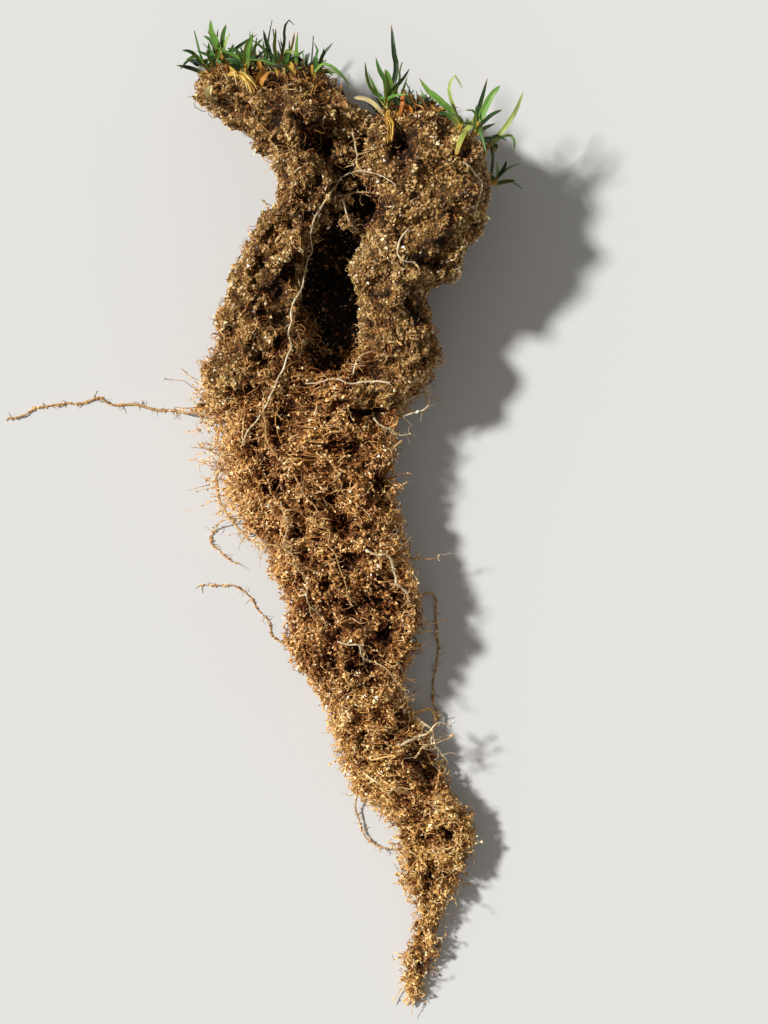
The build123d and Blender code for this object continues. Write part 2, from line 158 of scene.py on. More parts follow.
def lump_hull(lump, relief, seed, pits, closed_start=False, sink=0.0):
    """The lump's ovals on a grid, with each end drawn in to its middle, then moved along the
    normal by lumps, crumbs and grain-size relief, and down in pores, hollows and pits. relief
    is the height in mm of lumps, crumbs and grains and the depth of pores and hollows. A pit has
    its x and y, its size along both, and its depth. felt is the surface that fine roots follow:
    it dips into hollows and pits but not between grains, and lies sink mm over the soil."""
    lump_height, crumb_height, grain_height, pore_depth, hollow_depth = relief
    first = lump["outline"][0][0]
    rows = int(abs(lump["length"]) * (1 - first) / GRID_STEP) + 1
    columns = int(2 * (lump["width"] + lump["height"]) * 0.8 / GRID_STEP)
    way = np.sign(lump["length"])
    share = np.linspace(first, 1, rows)[:, None]
    angle = way * np.linspace(0, 2 * np.pi, columns, endpoint=False)[None, :]
    smooth = section_oval(lump, *np.broadcast_arrays(share, angle))
    middle = smooth[-1].mean(0)
    outward = np.array([0, way, 0]) * END_BULGE
    parts = [smooth, middle + (smooth[-1] - middle) * CAP + outward * np.sqrt(1 - CAP**2)]
    if closed_start:
        middle = smooth[0].mean(0)
        parts.insert(0, (middle + (smooth[0] - middle) * CAP)[::-1])
    smooth = np.concatenate(parts)
    normal = grid_normals(smooth)
    bent = smooth + BEND * drift(smooth, 5.0, seed + 31)
    uneven = 0.75 + 0.5 * value_noise(smooth, 8.0, seed + 37)
    hollow = np.clip(crumb_field(bent, HOLLOW_STEP, seed + 29) * 2.6 - 0.6, 0, 1) * uneven
    pore = np.clip(value_noise(bent, PORE_STEP, seed + 23) * 3 - 0.75, 0, 1)
    height = (
        lump_height * value_noise(bent, LUMP_STEP, seed + 11)
        + crumb_height * (crumb_field(bent, CRUMB_STEP, seed) - CRUMB_MEAN)
        + grain_height * value_noise(smooth, GRAIN_STEP, seed + 17)
        - pore_depth * pore - hollow_depth * hollow - sink
    )
    rough = smooth + normal * height[..., None]
    facing = np.clip(normal[..., 2] * 3, 0, 1)
    sunk = np.zeros(height.shape)
    for x, y, across, along, depth in pits:
        bell = np.exp(-((rough[..., 0] - x) / across) ** 2 - ((rough[..., 1] - y) / along) ** 2)
        sunk += depth * bell * facing
    rough[..., 2] -= np.minimum(sunk, 0.75 * np.maximum(rough[..., 2], 0))
    rough = above(rough, 0)
    smooth = above(smooth, 0)
    # Painted light: a level that rises on crumbs and falls in pores, hollows and pits; the colours laid on
    # the hull are darkened by it as painted shade
    light = np.clip(OPEN_LIGHT + (height + sink) / (1.8 + 0.5 * hollow_depth) - sunk / 5, 0, 1)
    felt = smooth - normal * (0.7 * hollow_depth * hollow + 0.4 * pore_depth * pore)[..., None]
    felt[..., 2] -= 0.9 * sunk
    return {"smooth": smooth, "rough": rough, "felt": above(felt, 0.1), "out": normal, "light": light}


def linear(code):
    """An sRGB hex colour as linear RGB, and a list of them as rows."""
    if not isinstance(code, str):
        return np.array([linear(one) for one in code])
    srgb = np.array([int(code[n:n + 2], 16) for n in (1, 3, 5)]) / 255
    return np.where(srgb > 0.04045, ((srgb + 0.055) / 1.055) ** 2.4, srgb / 12.92)


def shaded(colour, level):
    """The colour at a lower level: green falls faster than red, and blue faster still, as in
    hollows that are lit by light off the brown soil round them."""
    return colour * np.maximum(level, 0)[..., None] ** np.array([1.0, 1.58, 2.15])


def add(tree, kind, settings=None, **links):
    """A node with its settings, and links from other nodes' outputs to its named inputs."""
    node = tree.nodes.new(kind)
    for key, value in (settings or {}).items():
        if isinstance(key, str) and hasattr(node, key):
            setattr(node, key, value)
        else:
            node.inputs[key].default_value = value
    for key, output in links.items():
        tree.links.new(output, node.inputs[key.replace("_", " ")])
    return node


def new_material(name, roughness, specular):
    """A Principled material, its node tree and its shader."""
    material = bpy.data.materials.new(name)
    material.use_nodes = True
    shader = material.node_tree.nodes["Principled BSDF"]
    shader.inputs["Roughness"].default_value = roughness
    shader.inputs["Specular IOR Level"].default_value = specular
    return material, material.node_tree, shader


def placed(name, data):
    """An object with the given data, in the scene."""
    thing = bpy.data.objects.new(name, data)
    bpy.context.scene.collection.objects.link(thing)
    return thing


def new_piece(name, points, faces, material, colours, smooth=False, uv=None):
    """A mesh from arrays in millimetres, with its colours as a point attribute. faces is a
    list of arrays, one for each number of corners."""
    mesh = bpy.data.meshes.new(name)
    mesh.from_pydata((points * 0.001).tolist(), [], [face for part in faces for face in part.tolist()])
    mesh.polygons.foreach_set("use_smooth", np.full(len(mesh.polygons), smooth))
    tint = mesh.color_attributes.new("tint", "FLOAT_COLOR", "POINT")
    tint.data.foreach_set("color", np.insert(colours, 3, 1.0, axis=1).ravel())
    if uv is not None:
        corners = np.concatenate([part.ravel() for part in faces])
        mesh.uv_layers.new(name="Along").data.foreach_set("uv", uv[corners].ravel())
    mesh.materials.append(material)
    piece = placed(name, mesh)
    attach(piece, "root")
    return piece


def grid_faces(rows, columns):
    """Quads of a grid that is closed along its second direction, and a face on each end."""
    ring = np.arange(columns)
    a = np.arange(rows - 1)[:, None] * columns + ring
    b = np.arange(rows - 1)[:, None] * columns + (ring + 1) % columns
    walls = np.stack([a, a + columns, b + columns, b], -1).reshape(-1, 4)
    return [walls, ring[None], (rows * columns - 1 - ring)[None]]


def hull_piece(name, hull, dark, pale):
    """The hull as one closed mesh of soil, darker in its pores, hollows and pits by painted shade: its colour
    runs from the dark to the pale one by the hull's painted light.
    """
    blend = hull["light"].ravel()[:, None]
    colours = linear(dark) * (1 - blend) + linear(pale) * blend
    piece = new_piece(name, hull["rough"].reshape(-1, 3), grid_faces(*hull["light"].shape), soil, colours)
    return piece


# Sandy root zone: moist quartz sand of 0.3 mm with clay and humus, matt, dark between grains by painted shade
soil, tree, shader = new_material("moist_sandy_root_zone", 0.9, 0.3)
tint = add(tree, "ShaderNodeAttribute", {"attribute_name": "tint"})
place = add(tree, "ShaderNodeTexCoord")
cell = add(tree, "ShaderNodeTexVoronoi", {"Scale": 1 / 0.0003}, Vector=place.outputs["Object"])
chance = add(tree, "ShaderNodeSeparateColor", Color=cell.outputs["Color"])
bright = add(tree, "ShaderNodeMath", {"operation": "POWER", 1: 2.0}, Value=chance.outputs["Red"])
bright = add(tree, "ShaderNodeMapRange", {"To Min": 0.6, "To Max": 2.0}, Value=bright.outputs["Value"])
# Painted shade between grains: each cell's colour falls from full to 0.35 towards its edge
gap = add(tree, "ShaderNodeMapRange", {"From Min": 0.3, "From Max": 0.75, "To Min": 1.0, "To Max": 0.35},
          Value=cell.outputs["Distance"])
level = add(tree, "ShaderNodeMath", {"operation": "MULTIPLY"})
tree.links.new(bright.outputs["Result"], level.inputs[0])
tree.links.new(gap.outputs["Result"], level.inputs[1])
mixed = add(tree, "ShaderNodeVectorMath", {"operation": "SCALE"}, Scale=level.outputs["Value"])
tree.links.new(tint.outputs["Color"], mixed.inputs[0])
tree.links.new(mixed.outputs[0], shader.inputs["Base Color"])
bump = add(tree, "ShaderNodeBump", {"Strength": 0.8, "Distance": 0.0003, "invert": True},
           Height=cell.outputs["Distance"])
tree.links.new(bump.outputs["Normal"], shader.inputs["Normal"])


def tinted(name, roughness, specular):
    """A material that shows each piece's own tint as it is."""
    material, tree, shader = new_material(name, roughness, specular)
    tint = add(tree, "ShaderNodeAttribute", {"attribute_name": "tint"})
    tree.links.new(tint.outputs["Color"], shader.inputs["Base Color"])
    return material


# Sand grain: rounded quartz with iron stain, a little glossy where it is clean
sand = tinted("stained_quartz_sand", 0.55, 0.5)

# The whitest colour is clean quartz, bright enough to stand in for glints: partly a painted highlight
GRAIN_COLOURS = ["#dfc086", "#c6a266", "#a58248", "#82602f", "#eedaac", "#aa7e3e", "#fff6e4", "#543a1e"]
GRAIN_SHARES = [0.21, 0.22, 0.20, 0.13, 0.09, 0.07, 0.03, 0.05]
SOIL_GRAIN = 0.44        # mm across a grain of sand in the soil
FELT_GRAIN = 0.34        # mm across a grain caught in the felt
STUCK_GRAIN = 0.28       # mm across a grain stuck to a root
FOUR_SIDED = 0.35        # mm: grains below this size have just four sides
MOST_GRAINS = 30000      # in one piece, which keeps it under the limit on triangles


def on_hull(hull, key, row, column):
    """The hull's array at fractional grid places, blended between the four nearest points."""
    grid = hull[key]
    r = np.clip(row, 0, grid.shape[0] - 1.001)
    c = np.mod(column, grid.shape[1])
    r0 = r.astype(int)
    c0 = c.astype(int)
    c1 = (c0 + 1) % grid.shape[1]
    fr = r - r0
    fc = c - c0
    if grid.ndim == 3:
        fr = fr[..., None]
        fc = fc[..., None]
    near = grid[r0, c0] * (1 - fc) + grid[r0, c1] * fc
    far = grid[r0 + 1, c0] * (1 - fc) + grid[r0 + 1, c1] * fc
    return near * (1 - fr) + far * fr


def spread_over(hull, count, rng, pore_share=0.15, part=(0.0, 1.0), facing=None):
    """Random grid places, as many to the square millimetre everywhere, but fewer in pores and
    on the underside, on the given part of the hull's rows and the side that faces a direction."""
    side = np.linalg.norm(np.diff(hull["rough"], axis=0), axis=-1)
    girth = np.linalg.norm(np.roll(hull["rough"], -1, 1) - hull["rough"], axis=-1)[:-1]
    lit = np.clip(hull["light"][:-1] * 1.6, 0, 1) ** 2
    weight = side * girth * (pore_share + (1 - pore_share) * lit)
    weight *= (hull["rough"][:-1, :, 2] > 0.02) * (0.4 + 0.6 * np.clip(hull["out"][:-1, :, 2] + 0.7, 0, 1))
    if facing is not None:
        weight *= np.clip(hull["out"][:-1] @ np.array(facing), 0, 1)
    at = np.arange(len(weight))[:, None] / len(weight)
    weight *= (at >= part[0]) & (at <= part[1])
    cells = rng.choice(weight.size, count, p=(weight / weight.sum()).ravel())
    row, column = np.unravel_index(cells, weight.shape)
    return row + rng.random(count), column + rng.random(count)


def turned(count, rng):
    """Random rotation matrices, from unit quaternions."""
    a, b, c, d = np.moveaxis(unit(rng.normal(size=(count, 4))), -1, 0)
    return np.stack([
        1 - 2 * (c * c + d * d), 2 * (b * c - a * d), 2 * (b * d + a * c),
        2 * (b * c + a * d), 1 - 2 * (b * b + d * d), 2 * (c * d - a * b),
        2 * (b * d - a * c), 2 * (c * d + a * b), 1 - 2 * (b * b + c * c),
    ], -1).reshape(count, 3, 3)


def grains(name, middle, size, light, rng, palette=GRAIN_COLOURS):
    """Grains round the given middles, with unequal axes, each turned at random and darker where
    little light reaches: two low pyramids on one triangle, or a four-sided one if they are fine."""
    if size > FOUR_SIDED:
        corners = np.array([(1, 0, 0), (-0.5, 0.87, 0), (-0.5, -0.87, 0), (0, 0, 0.85), (0, 0, -0.85)])
        sides = np.array([(0, 1, 3), (1, 2, 3), (2, 0, 3), (1, 0, 4), (2, 1, 4), (0, 2, 4)])
    else:
        corners = 0.62 * np.array([(1.0, 1, 1), (-1, -1, 1), (-1, 1, -1), (1, -1, -1)])
        sides = np.array([(0, 2, 1), (0, 1, 3), (0, 3, 2), (1, 2, 3)])
    count = len(middle)
    radius = size / 2 * np.exp(np.clip(rng.normal(0, 0.3, count), -0.6, 0.42)) * 1.12
    axes = radius[:, None] * rng.uniform(0.72, 1.3, (count, 3))
    shape = corners[None] * (1 + rng.uniform(-0.18, 0.18, (count, len(corners), 1))) * axes[:, None, :]
    points = np.einsum("nij,nkj->nki", turned(count, rng), shape) + middle[:, None, :]
    points[..., 2] += np.maximum(0, -points[..., 2].min(1))[:, None]
    colour = linear(palette)[rng.choice(len(palette), count, p=GRAIN_SHARES)]
    colour = shaded(colour, rng.uniform(0.75, 1.2, count) * (0.35 + 0.8 * np.clip(light * 1.4, 0, 1)))
    for n, start in enumerate(range(0, count, MOST_GRAINS)):
        some = slice(start, start + MOST_GRAINS)
        first = len(corners) * np.arange(len(points[some]))[:, None, None]
        faces = [(sides[None] + first).reshape(-1, 3)]
        tints = np.repeat(colour[some], len(corners), axis=0)
        piece = new_piece(f"{name}_{n + 1}", points[some].reshape(-1, 3), faces, sand, tints)


def grains_on(name, hull, count, size, seed, raised=0.5, palette=GRAIN_COLOURS, part=(0.0, 1.0)):
    """Grains set on the hull, from a little sunk to standing proud by their own radius."""
    rng = np.random.default_rng(seed)
    row, column = spread_over(hull, count, rng, part=part)
    seat = on_hull(hull, "rough", row, column)
    out = unit(on_hull(hull, "out", row, column))
    middle = seat + out * (size * rng.uniform(-0.05, raised, count))[:, None]
    grains(name, middle, size, on_hull(hull, "light", row, column), rng, palette)


# Pits: x and y, size across and along, and depth, in mm
pits_left = [
    (-2.0, 41.7, 3.0, 2.2, 9.0), (-10.5, 20.8, 2.0, 0.8, 2.2), (-11.6, 25.0, 0.8, 1.8, 2.5),
    (-11.9, 10.6, 1.3, 1.1, 2.8), (-7.5, 30.0, 0.9, 1.2, 2.0), (-4.0, 27.8, 1.0, 1.0, 2.0),
]
left_hull = lump_hull(left_column, (0.38, 1.05, 0.35, 1.0, 1.1), 3, pits_left)
piece = hull_piece("left_column_soil", left_hull, "#2c1606", "#bf9150")
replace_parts(piece, "left_soil_column")
grains_on("left_column_sand", left_hull, 12800, SOIL_GRAIN, 31)


# Soil at the bottom of the cleft. The same root zone, left lower between the two columns, where
# it lies in their shade; it is part of the left column's solid.
cleft_soil = {
    "start": 9.3, "length": 36.0, "width": 13.0, "height": 14.0, "hold": 0.5,
    "outline": [
        (0.00, -1.2, 1.00, 0.62), (0.18, -0.9, 1.00, 0.52), (0.36, -1.0, 1.00, 0.50),
        (0.48, 0.2, 1.00, 0.66), (0.56, 1.2, 0.95, 0.92), (0.70, 1.4, 0.85, 1.00),
        (0.86, 1.9, 0.80, 0.98), (1.00, 2.6, 0.55, 0.72),
    ],
}
cleft_hull = lump_hull(cleft_soil, (0.5, 0.8, 0.3, 0.8, 1.2), 5, [(-2.0, 41.7, 3.0, 2.2, 8.0)])
# Painted shade: the cleft's light is cut to a quarter and its colours are darker than the columns', which
# darkens its soil and sand as the shade between the columns
cleft_hull["light"] *= 0.25
hull_piece("cleft_soil", cleft_hull, "#1a0f07", "#5a3f20")
grains_on("cleft_sand", cleft_hull, 1800, 0.42, 32)


def crumb_pieces(name, centres, sizes, seed):
    """Loose crumbs of soil as balls of sand grains: the grains fill each ball to its edge, and those inside
    it are darker by painted shade."""
    rng = np.random.default_rng(seed)
    which = np.repeat(np.arange(len(centres)), (16 * sizes**2 / 1.7).astype(int))
    radius = 0.35 + 0.65 * rng.random(len(which)) ** 0.4
    middle = centres[which] + unit(rng.normal(size=(len(which), 3))) * (radius * sizes[which] / 2)[:, None]
    grains(name, above(middle, 0.2), SOIL_GRAIN, 0.1 + 0.45 * radius, rng)


# Crumbs that bridge the two columns over the head of the cleft, in a seeded scatter
rng = np.random.default_rng(44)
bridge = np.stack([rng.normal(0.3, 1.3, 100), rng.uniform(30, 45.5, 100), rng.uniform(8, 17, 100)], -1)
between = np.stack([rng.uniform(0.2, 3.0, 80), rng.uniform(43.5, 47.5, 80), rng.uniform(1.5, 15, 80)], -1)
bridge = np.concatenate([bridge, between])
bridge = bridge[((bridge[:, 0] - 3.4) / 2.2) ** 2 + ((bridge[:, 1] - 32.3) / 2.4) ** 2 > 1]
crumb_pieces("bridging_crumbs", bridge, rng.uniform(1.0, 2.3, len(bridge)), 45)


# Right soil column. A broad block of the same root zone that overhangs a narrower foot. The cleft
# parts it from the left column, and its foot is grown into the root mat.
right_column = {
    "start": 9.3, "length": 37.1, "width": 18.4, "height": 23.0, "hold": 0.0,
    "outline": [
        (-0.13, -3.0, 0.62, 0.52), (0.00, 0.7, 0.62, 0.70), (0.09, 2.0, 0.63, 0.72),
        (0.16, 2.1, 0.57, 0.74), (0.25, 2.3, 0.53, 0.77), (0.33, 1.6, 0.54, 0.81),
        (0.37, 1.1, 0.80, 0.93), (0.44, 1.1, 0.86, 0.96), (0.50, 2.6, 0.82, 0.98),
        (0.58, 2.0, 0.96, 1.00), (0.65, 1.8, 1.00, 1.00), (0.78, 1.6, 1.01, 0.99),
        (0.87, 2.2, 0.95, 0.95), (0.96, 3.9, 0.65, 0.85), (1.00, 5.7, 0.43, 0.68),
    ],
}
pits_right = [
    (8.3, 40.3, 1.6, 2.6, 4.5), (3.4, 32.3, 2.2, 2.0, 8.0), (3.6, 9.8, 1.8, 1.4, 4.0),
    (11.5, 24.5, 2.6, 0.9, 2.5), (11.0, 17.5, 1.0, 2.0, 2.5),
]
right_hull = lump_hull(right_column, (0.3, 0.78, 0.35, 0.85, 0.6), 7, pits_right)
piece = hull_piece("right_column_soil", right_hull, "#2c1606", "#bf9150")
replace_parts(piece, "right_soil_column")
grains_on("right_column_sand", right_hull, 11500, SOIL_GRAIN, 33)


# Root mat. Curly fine roots felted together, with sand caught between them; both columns grow
# out of it. Its hull holds the sand, and the roots are threads laid over it.
root_mat = {
    "start": 9.3, "length": -46.4, "width": 31.4, "height": 15.0, "hold": 0.5, "waves": 0.55,
    "outline": [
        (-0.09, -3.0, 0.90, 0.56), (0.00, -4.3, 1.00, 0.98), (0.08, -5.7, 0.88, 1.00),
        (0.17, -4.9, 0.77, 0.97), (0.26, -5.2, 0.76, 0.95), (0.38, -4.4, 0.75, 0.93),
        (0.48, -2.9, 0.68, 0.93), (0.57, -0.8, 0.62, 0.92), (0.66, 0.4, 0.61, 0.92),
        (0.75, 1.4, 0.61, 0.90), (0.83, 0.7, 0.60, 0.86), (0.91, 0.9, 0.49, 0.76),
        (1.00, 2.1, 0.35, 0.62),
    ],
}
pits_mat = [
    (-9.3, 1.7, 1.2, 1.8, 4.0), (3.6, 6.2, 2.2, 2.6, 9.0), (0.0, -1.0, 1.8, 1.4, 3.0),
    (-11.9, 8.0, 1.6, 1.4, 3.5), (-1.4, 12.0, 2.7, 2.0, 10.0), (-10.4, -7.0, 1.7, 1.2, 3.0),
    (-2.2, -8.4, 1.1, 1.5, 4.0), (-0.3, -11.6, 0.9, 0.9, 2.4), (4.3, -7.0, 0.9, 1.4, 3.0),
    (8.0, -12.6, 0.8, 1.4, 3.0), (-6.1, -12.2, 0.8, 0.8, 2.0), (0.6, -17.1, 1.1, 0.9, 2.2),
    (3.6, -16.2, 0.9, 0.7, 1.8), (-5.3, -16.3, 0.7, 0.6, 1.6), (3.9, -20.2, 1.4, 0.7, 2.2),
    (4.8, -23.2, 1.2, 1.3, 2.8), (-4.1, -23.9, 1.3, 1.3, 1.8), (5.6, -28.0, 1.0, 0.7, 2.0),
    (-2.4, -31.9, 0.7, 0.7, 2.2),
]
mat_hull = lump_hull(root_mat, (0.6, 1.3, 0.45, 1.2, 2.9), 9, pits_mat, True, 0.5)
piece = hull_piece("root_mat_felt", mat_hull, "#4a2610", "#c98f4c")
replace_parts(piece, "root_mat")
# As in the soil, the whitest colour is partly a painted highlight for glints
FELT_SAND = ["#f8cd8c", "#eab56c", "#d09850", "#a66e34", "#fde2ac", "#de9e54", "#fff4da", "#784820"]
grains_on("root_mat_sand", mat_hull, 10000, FELT_GRAIN, 34, 0.9, FELT_SAND, (0.12, 1.0))
grains_on("root_mat_soil_grains", mat_hull, 2600, 0.42, 37, 0.6, part=(0.0, 0.2))

ROOT_COLOURS = ["#f8ce8c", "#eab66e", "#d09a54", "#a67038", "#fde0aa", "#f6e4bc"]
ROOT_SHARES = [0.28, 0.27, 0.20, 0.12, 0.10, 0.03]

# Fine root: a pale living fibre with a thin bark, satin when dry
fibre = tinted("dry_root_fibre", 0.6, 0.4)


def tubes(lines, radius, sides):
    """Tubes along many lines at once, closed at both ends: lines is (count, points, 3), and each
    ring of corners stands square to its line, on two directions worked out from a fixed one."""
    along = unit(np.gradient(lines, axis=1))
    fixed = np.where(np.abs(along[..., 2:3]) > 0.9, (1.0, 0.0, 0.0), (0.0, 0.0, 1.0))
    side = unit(np.cross(along, fixed))
    up = np.cross(side, along)
    angle = 2 * np.pi * np.arange(sides) / sides
    ring = (
        side[:, :, None, :] * np.cos(angle)[None, None, :, None]
        + up[:, :, None, :] * np.sin(angle)[None, None, :, None]
    )
    points = lines[:, :, None, :] + ring * radius[:, :, None, None]
    count, steps = lines.shape[:2]
    step = np.arange(steps - 1)[:, None] * sides
    n = np.arange(sides)[None, :]
    m = (n + 1) % sides
    wall = np.stack([step + n, step + n + sides, step + m + sides, step + m], -1).reshape(-1, 4)
    first = (np.arange(count) * steps * sides)[:, None]
    walls = (wall[None] + first[:, :, None]).reshape(-1, 4)
    near = first + n
    far = first + steps * sides - 1 - n
    return points.reshape(-1, 3), [walls, near, far]


def creeping_roots(
    hull, count, length, lift, rng, steps, downward=0.6, part=(0.0, 1.0), curl=0.5, pore_share=0.4
):
    """Lines that creep over the felt, and the light along them: the heading wanders by a random
    walk from the lump's own direction, and the height over the felt follows a sine."""
    row, column = spread_over(hull, count, rng, pore_share, part)
    girth = np.linalg.norm(np.roll(hull["smooth"], -1, 1) - hull["smooth"], axis=-1).mean()
    heading = rng.normal(0, np.pi * (1.15 - downward), count)[:, None]
    heading = heading + np.cumsum(rng.normal(0, curl, (count, steps)), axis=1)
    stride = (length * rng.uniform(0.5, 1.3, count) / steps)[:, None]
    rows = row[:, None] + np.cumsum(np.cos(heading) * stride, axis=1) / GRID_STEP
    columns = column[:, None] + np.cumsum(np.sin(heading) * stride, axis=1) / girth
    phase = rng.uniform(0, 2 * np.pi, count)[:, None]
    phase = phase + np.arange(steps)[None, :] * rng.uniform(0.5, 1.3, (count, 1))
    height = lift * (0.2 + 0.8 * np.sin(phase)) * rng.uniform(0.4, 1.2, (count, 1))
    out = unit(on_hull(hull, "out", rows, columns))
    points = on_hull(hull, "felt", rows, columns) + out * height[..., None]
    points = above(points + rng.normal(0, 0.07, points.shape), 0.12)
    return points, np.clip(0.2 + 1.5 * on_hull(hull, "light", rows, columns), 0, 1)


def free_roots(hull, count, length, rng, steps=8, part=(0.0, 1.0), facing=None, curl=0.62):
    """Lines that leave the rough hull along its normal and wander by a random walk, sinking
    slowly to the floor."""
    row, column = spread_over(hull, count, rng, 0.8, part, facing)
    out = unit(on_hull(hull, "out", row, column))
    heading = out[:, None, :] * 1.1 + np.cumsum(rng.normal(0, curl, (count, steps, 3)), axis=1)
    heading[..., 2] -= np.linspace(0, 0.7, steps)
    stride = (length * rng.uniform(0.35, 1.3, count) / steps)[:, None, None]
    start = on_hull(hull, "rough", row, column) - out * 0.5
    points = start[:, None, :] + np.cumsum(unit(heading) * stride, axis=1)
    return above(points, 0.1), np.ones(points.shape[:2])


def wander(start, heading, stride):
    """Lines from the given places, which go on by one stride along each heading in turn."""
    return start[:, None, :] + np.cumsum(unit(heading) * stride, axis=1) - unit(heading[:, :1]) * stride


def branches(roots, count, length, rng):
    """Short lines of five points that leave random places of the given roots and wander."""
    steps = 5
    lines, light = roots
    which = rng.integers(0, len(lines), count)
    at = rng.integers(1, lines.shape[1], count)
    along = unit(lines[which, at] - lines[which, at - 1])
    heading = along[:, None, :] + rng.normal(0, 0.8, (count, 1, 3))
    heading = heading + np.cumsum(rng.normal(0, 0.5, (count, steps, 3)), axis=1)
    stride = (length * rng.uniform(0.4, 1.4, count) / steps)[:, None, None]
    points = above(wander(lines[which, at], heading, stride), 0.1)
    return points, np.broadcast_to(light[which, at][:, None], (count, steps))


def root_tubes(roots, thickness, rng, palette=ROOT_COLOURS, shares=ROOT_SHARES, sides=3, taper=0.6):
    """Tubes that narrow towards their tips, a little knobbly, each in its own colour. roots is
    the lines and the light along them."""
    lines, light = roots
    count, steps = lines.shape[:2]
    narrow = 1 - taper * np.linspace(0, 1, steps)[None, :] ** 2
    knobs = np.exp(rng.normal(0, 0.22, (count, 1)) + rng.normal(0, 0.1, (count, steps)))
    points, faces = tubes(lines, thickness / 2 * knobs * narrow, sides)
    colour = linear(palette)[rng.choice(len(palette), count, p=shares)]
    colour = shaded(colour[:, None, :], rng.uniform(0.75, 1.2, (count, steps)) * light)
    return points, faces, np.repeat(colour, sides, axis=1).reshape(-1, 3)


def joined(parts):
    """Several sets of points, faces and colours as one set."""
    first = np.cumsum([0] + [len(points) for points, _, _ in parts])
    faces = [array + start for (_, arrays, _), start in zip(parts, first) for array in arrays]
    return np.concatenate([part[0] for part in parts]), faces, np.concatenate([part[2] for part in parts])


def root_piece(name, parts):
    """Many roots as one mesh."""
    points, faces, colours = joined(parts)
    piece = new_piece(name, points, faces, fibre, colours, smooth=True)
    return piece


def beads(name, roots, each, size, rng, palette=FELT_SAND):
    """Sand grains stuck along the roots, each grains to a root, a little off its middle."""
    lines, light = roots
    count, steps = lines.shape[:2]
    which = np.repeat(np.arange(count), each)
    at = rng.random(len(which)) * (steps - 1.001)
    k = at.astype(int)
    s = (at - k)[:, None]
    middle = lines[which, k] * (1 - s) + lines[which, k + 1] * s
    middle = above(middle + rng.normal(0, size * 0.25, (len(which), 3)), size * 0.3)
    grains(name, middle, size, light[which, k], rng, palette)


rng = np.random.default_rng(41)
short = creeping_roots(mat_hull, 2000, 3.6, 0.9, rng, steps=8, curl=0.95, downward=0.2, pore_share=0.1)
long_ones = creeping_roots(mat_hull, 130, 10.0, 1.1, rng, steps=16)
root_piece("root_mat_fibres", [root_tubes(short, 0.16, rng), root_tubes(long_ones, 0.2, rng)])
beads("root_mat_crumbs", short, 6, 0.33, rng)
hairs = free_roots(mat_hull, 850, 2.6, rng, 7)
lace = free_roots(mat_hull, 280, 7.0, rng, 12, (0.12, 0.50), (-1.0, 0.0, 0.1), 0.42)
frizz = free_roots(mat_hull, 150, 4.5, rng, 10, (0.0, 1.0), (1.0, 0.0, 0.0), 0.45)
root_piece("root_mat_hairs", [
    root_tubes(hairs, 0.13, rng), root_tubes(branches(hairs, 500, 1.2, rng), 0.11, rng),
    root_tubes(lace, 0.15, rng), root_tubes(branches(lace, 500, 1.6, rng), 0.12, rng),
    root_tubes(frizz, 0.14, rng), root_tubes(branches(frizz, 250, 1.4, rng), 0.12, rng),
])
beads("root_mat_hair_sand", hairs, 4, STUCK_GRAIN, rng)
beads("root_mat_lace_sand", lace, 9, 0.3, rng)
beads("root_mat_frizz_sand", frizz, 5, STUCK_GRAIN, rng)


# Root tail. The same roots with most of the sand gone, combed together and thinning to a point.
# Like the mat it has a hull that holds the sand, under creeping and free roots.
root_tail = {
    "start": -37.1, "length": -43.6, "width": 14.0, "height": 9.3, "hold": 0.5, "waves": 0.5,
    "outline": [
        (-0.10, 1.0, 0.80, 0.85), (0.00, 2.1, 0.78, 1.00), (0.08, 4.3, 0.88, 0.97),
        (0.15, 5.4, 0.96, 0.93), (0.21, 6.3, 1.00, 0.90), (0.29, 7.9, 0.98, 0.85),
        (0.34, 9.3, 0.90, 0.82), (0.39, 11.9, 0.82, 0.78), (0.47, 12.7, 0.82, 0.74),
        (0.53, 12.9, 0.69, 0.70), (0.61, 12.4, 0.61, 0.62), (0.67, 12.2, 0.32, 0.50),
        (0.74, 11.6, 0.24, 0.42), (0.80, 11.4, 0.26, 0.38), (0.87, 10.8, 0.32, 0.36),
        (0.93, 10.2, 0.28, 0.30), (1.00, 9.9, 0.12, 0.22),
    ],
}
pits_tail = [
    (12.0, -47.3, 1.7, 2.2, 6.0), (7.8, -40.4, 1.0, 1.6, 3.5), (9.6, -43.6, 0.8, 1.0, 3.0),
    (5.6, -45.7, 0.8, 0.9, 2.5), (2.5, -42.5, 0.9, 1.3, 2.5), (14.6, -56.6, 1.1, 0.9, 3.5),
    (12.3, -62.3, 0.8, 2.2, 2.5),
]
tail_hull = lump_hull(root_tail, (0.6, 0.9, 0.35, 0.8, 2.6), 13, pits_tail, True, 0.6)
piece = hull_piece("root_tail_core", tail_hull, "#5a3214", "#e6ac60")
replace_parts(piece, "root_tail")
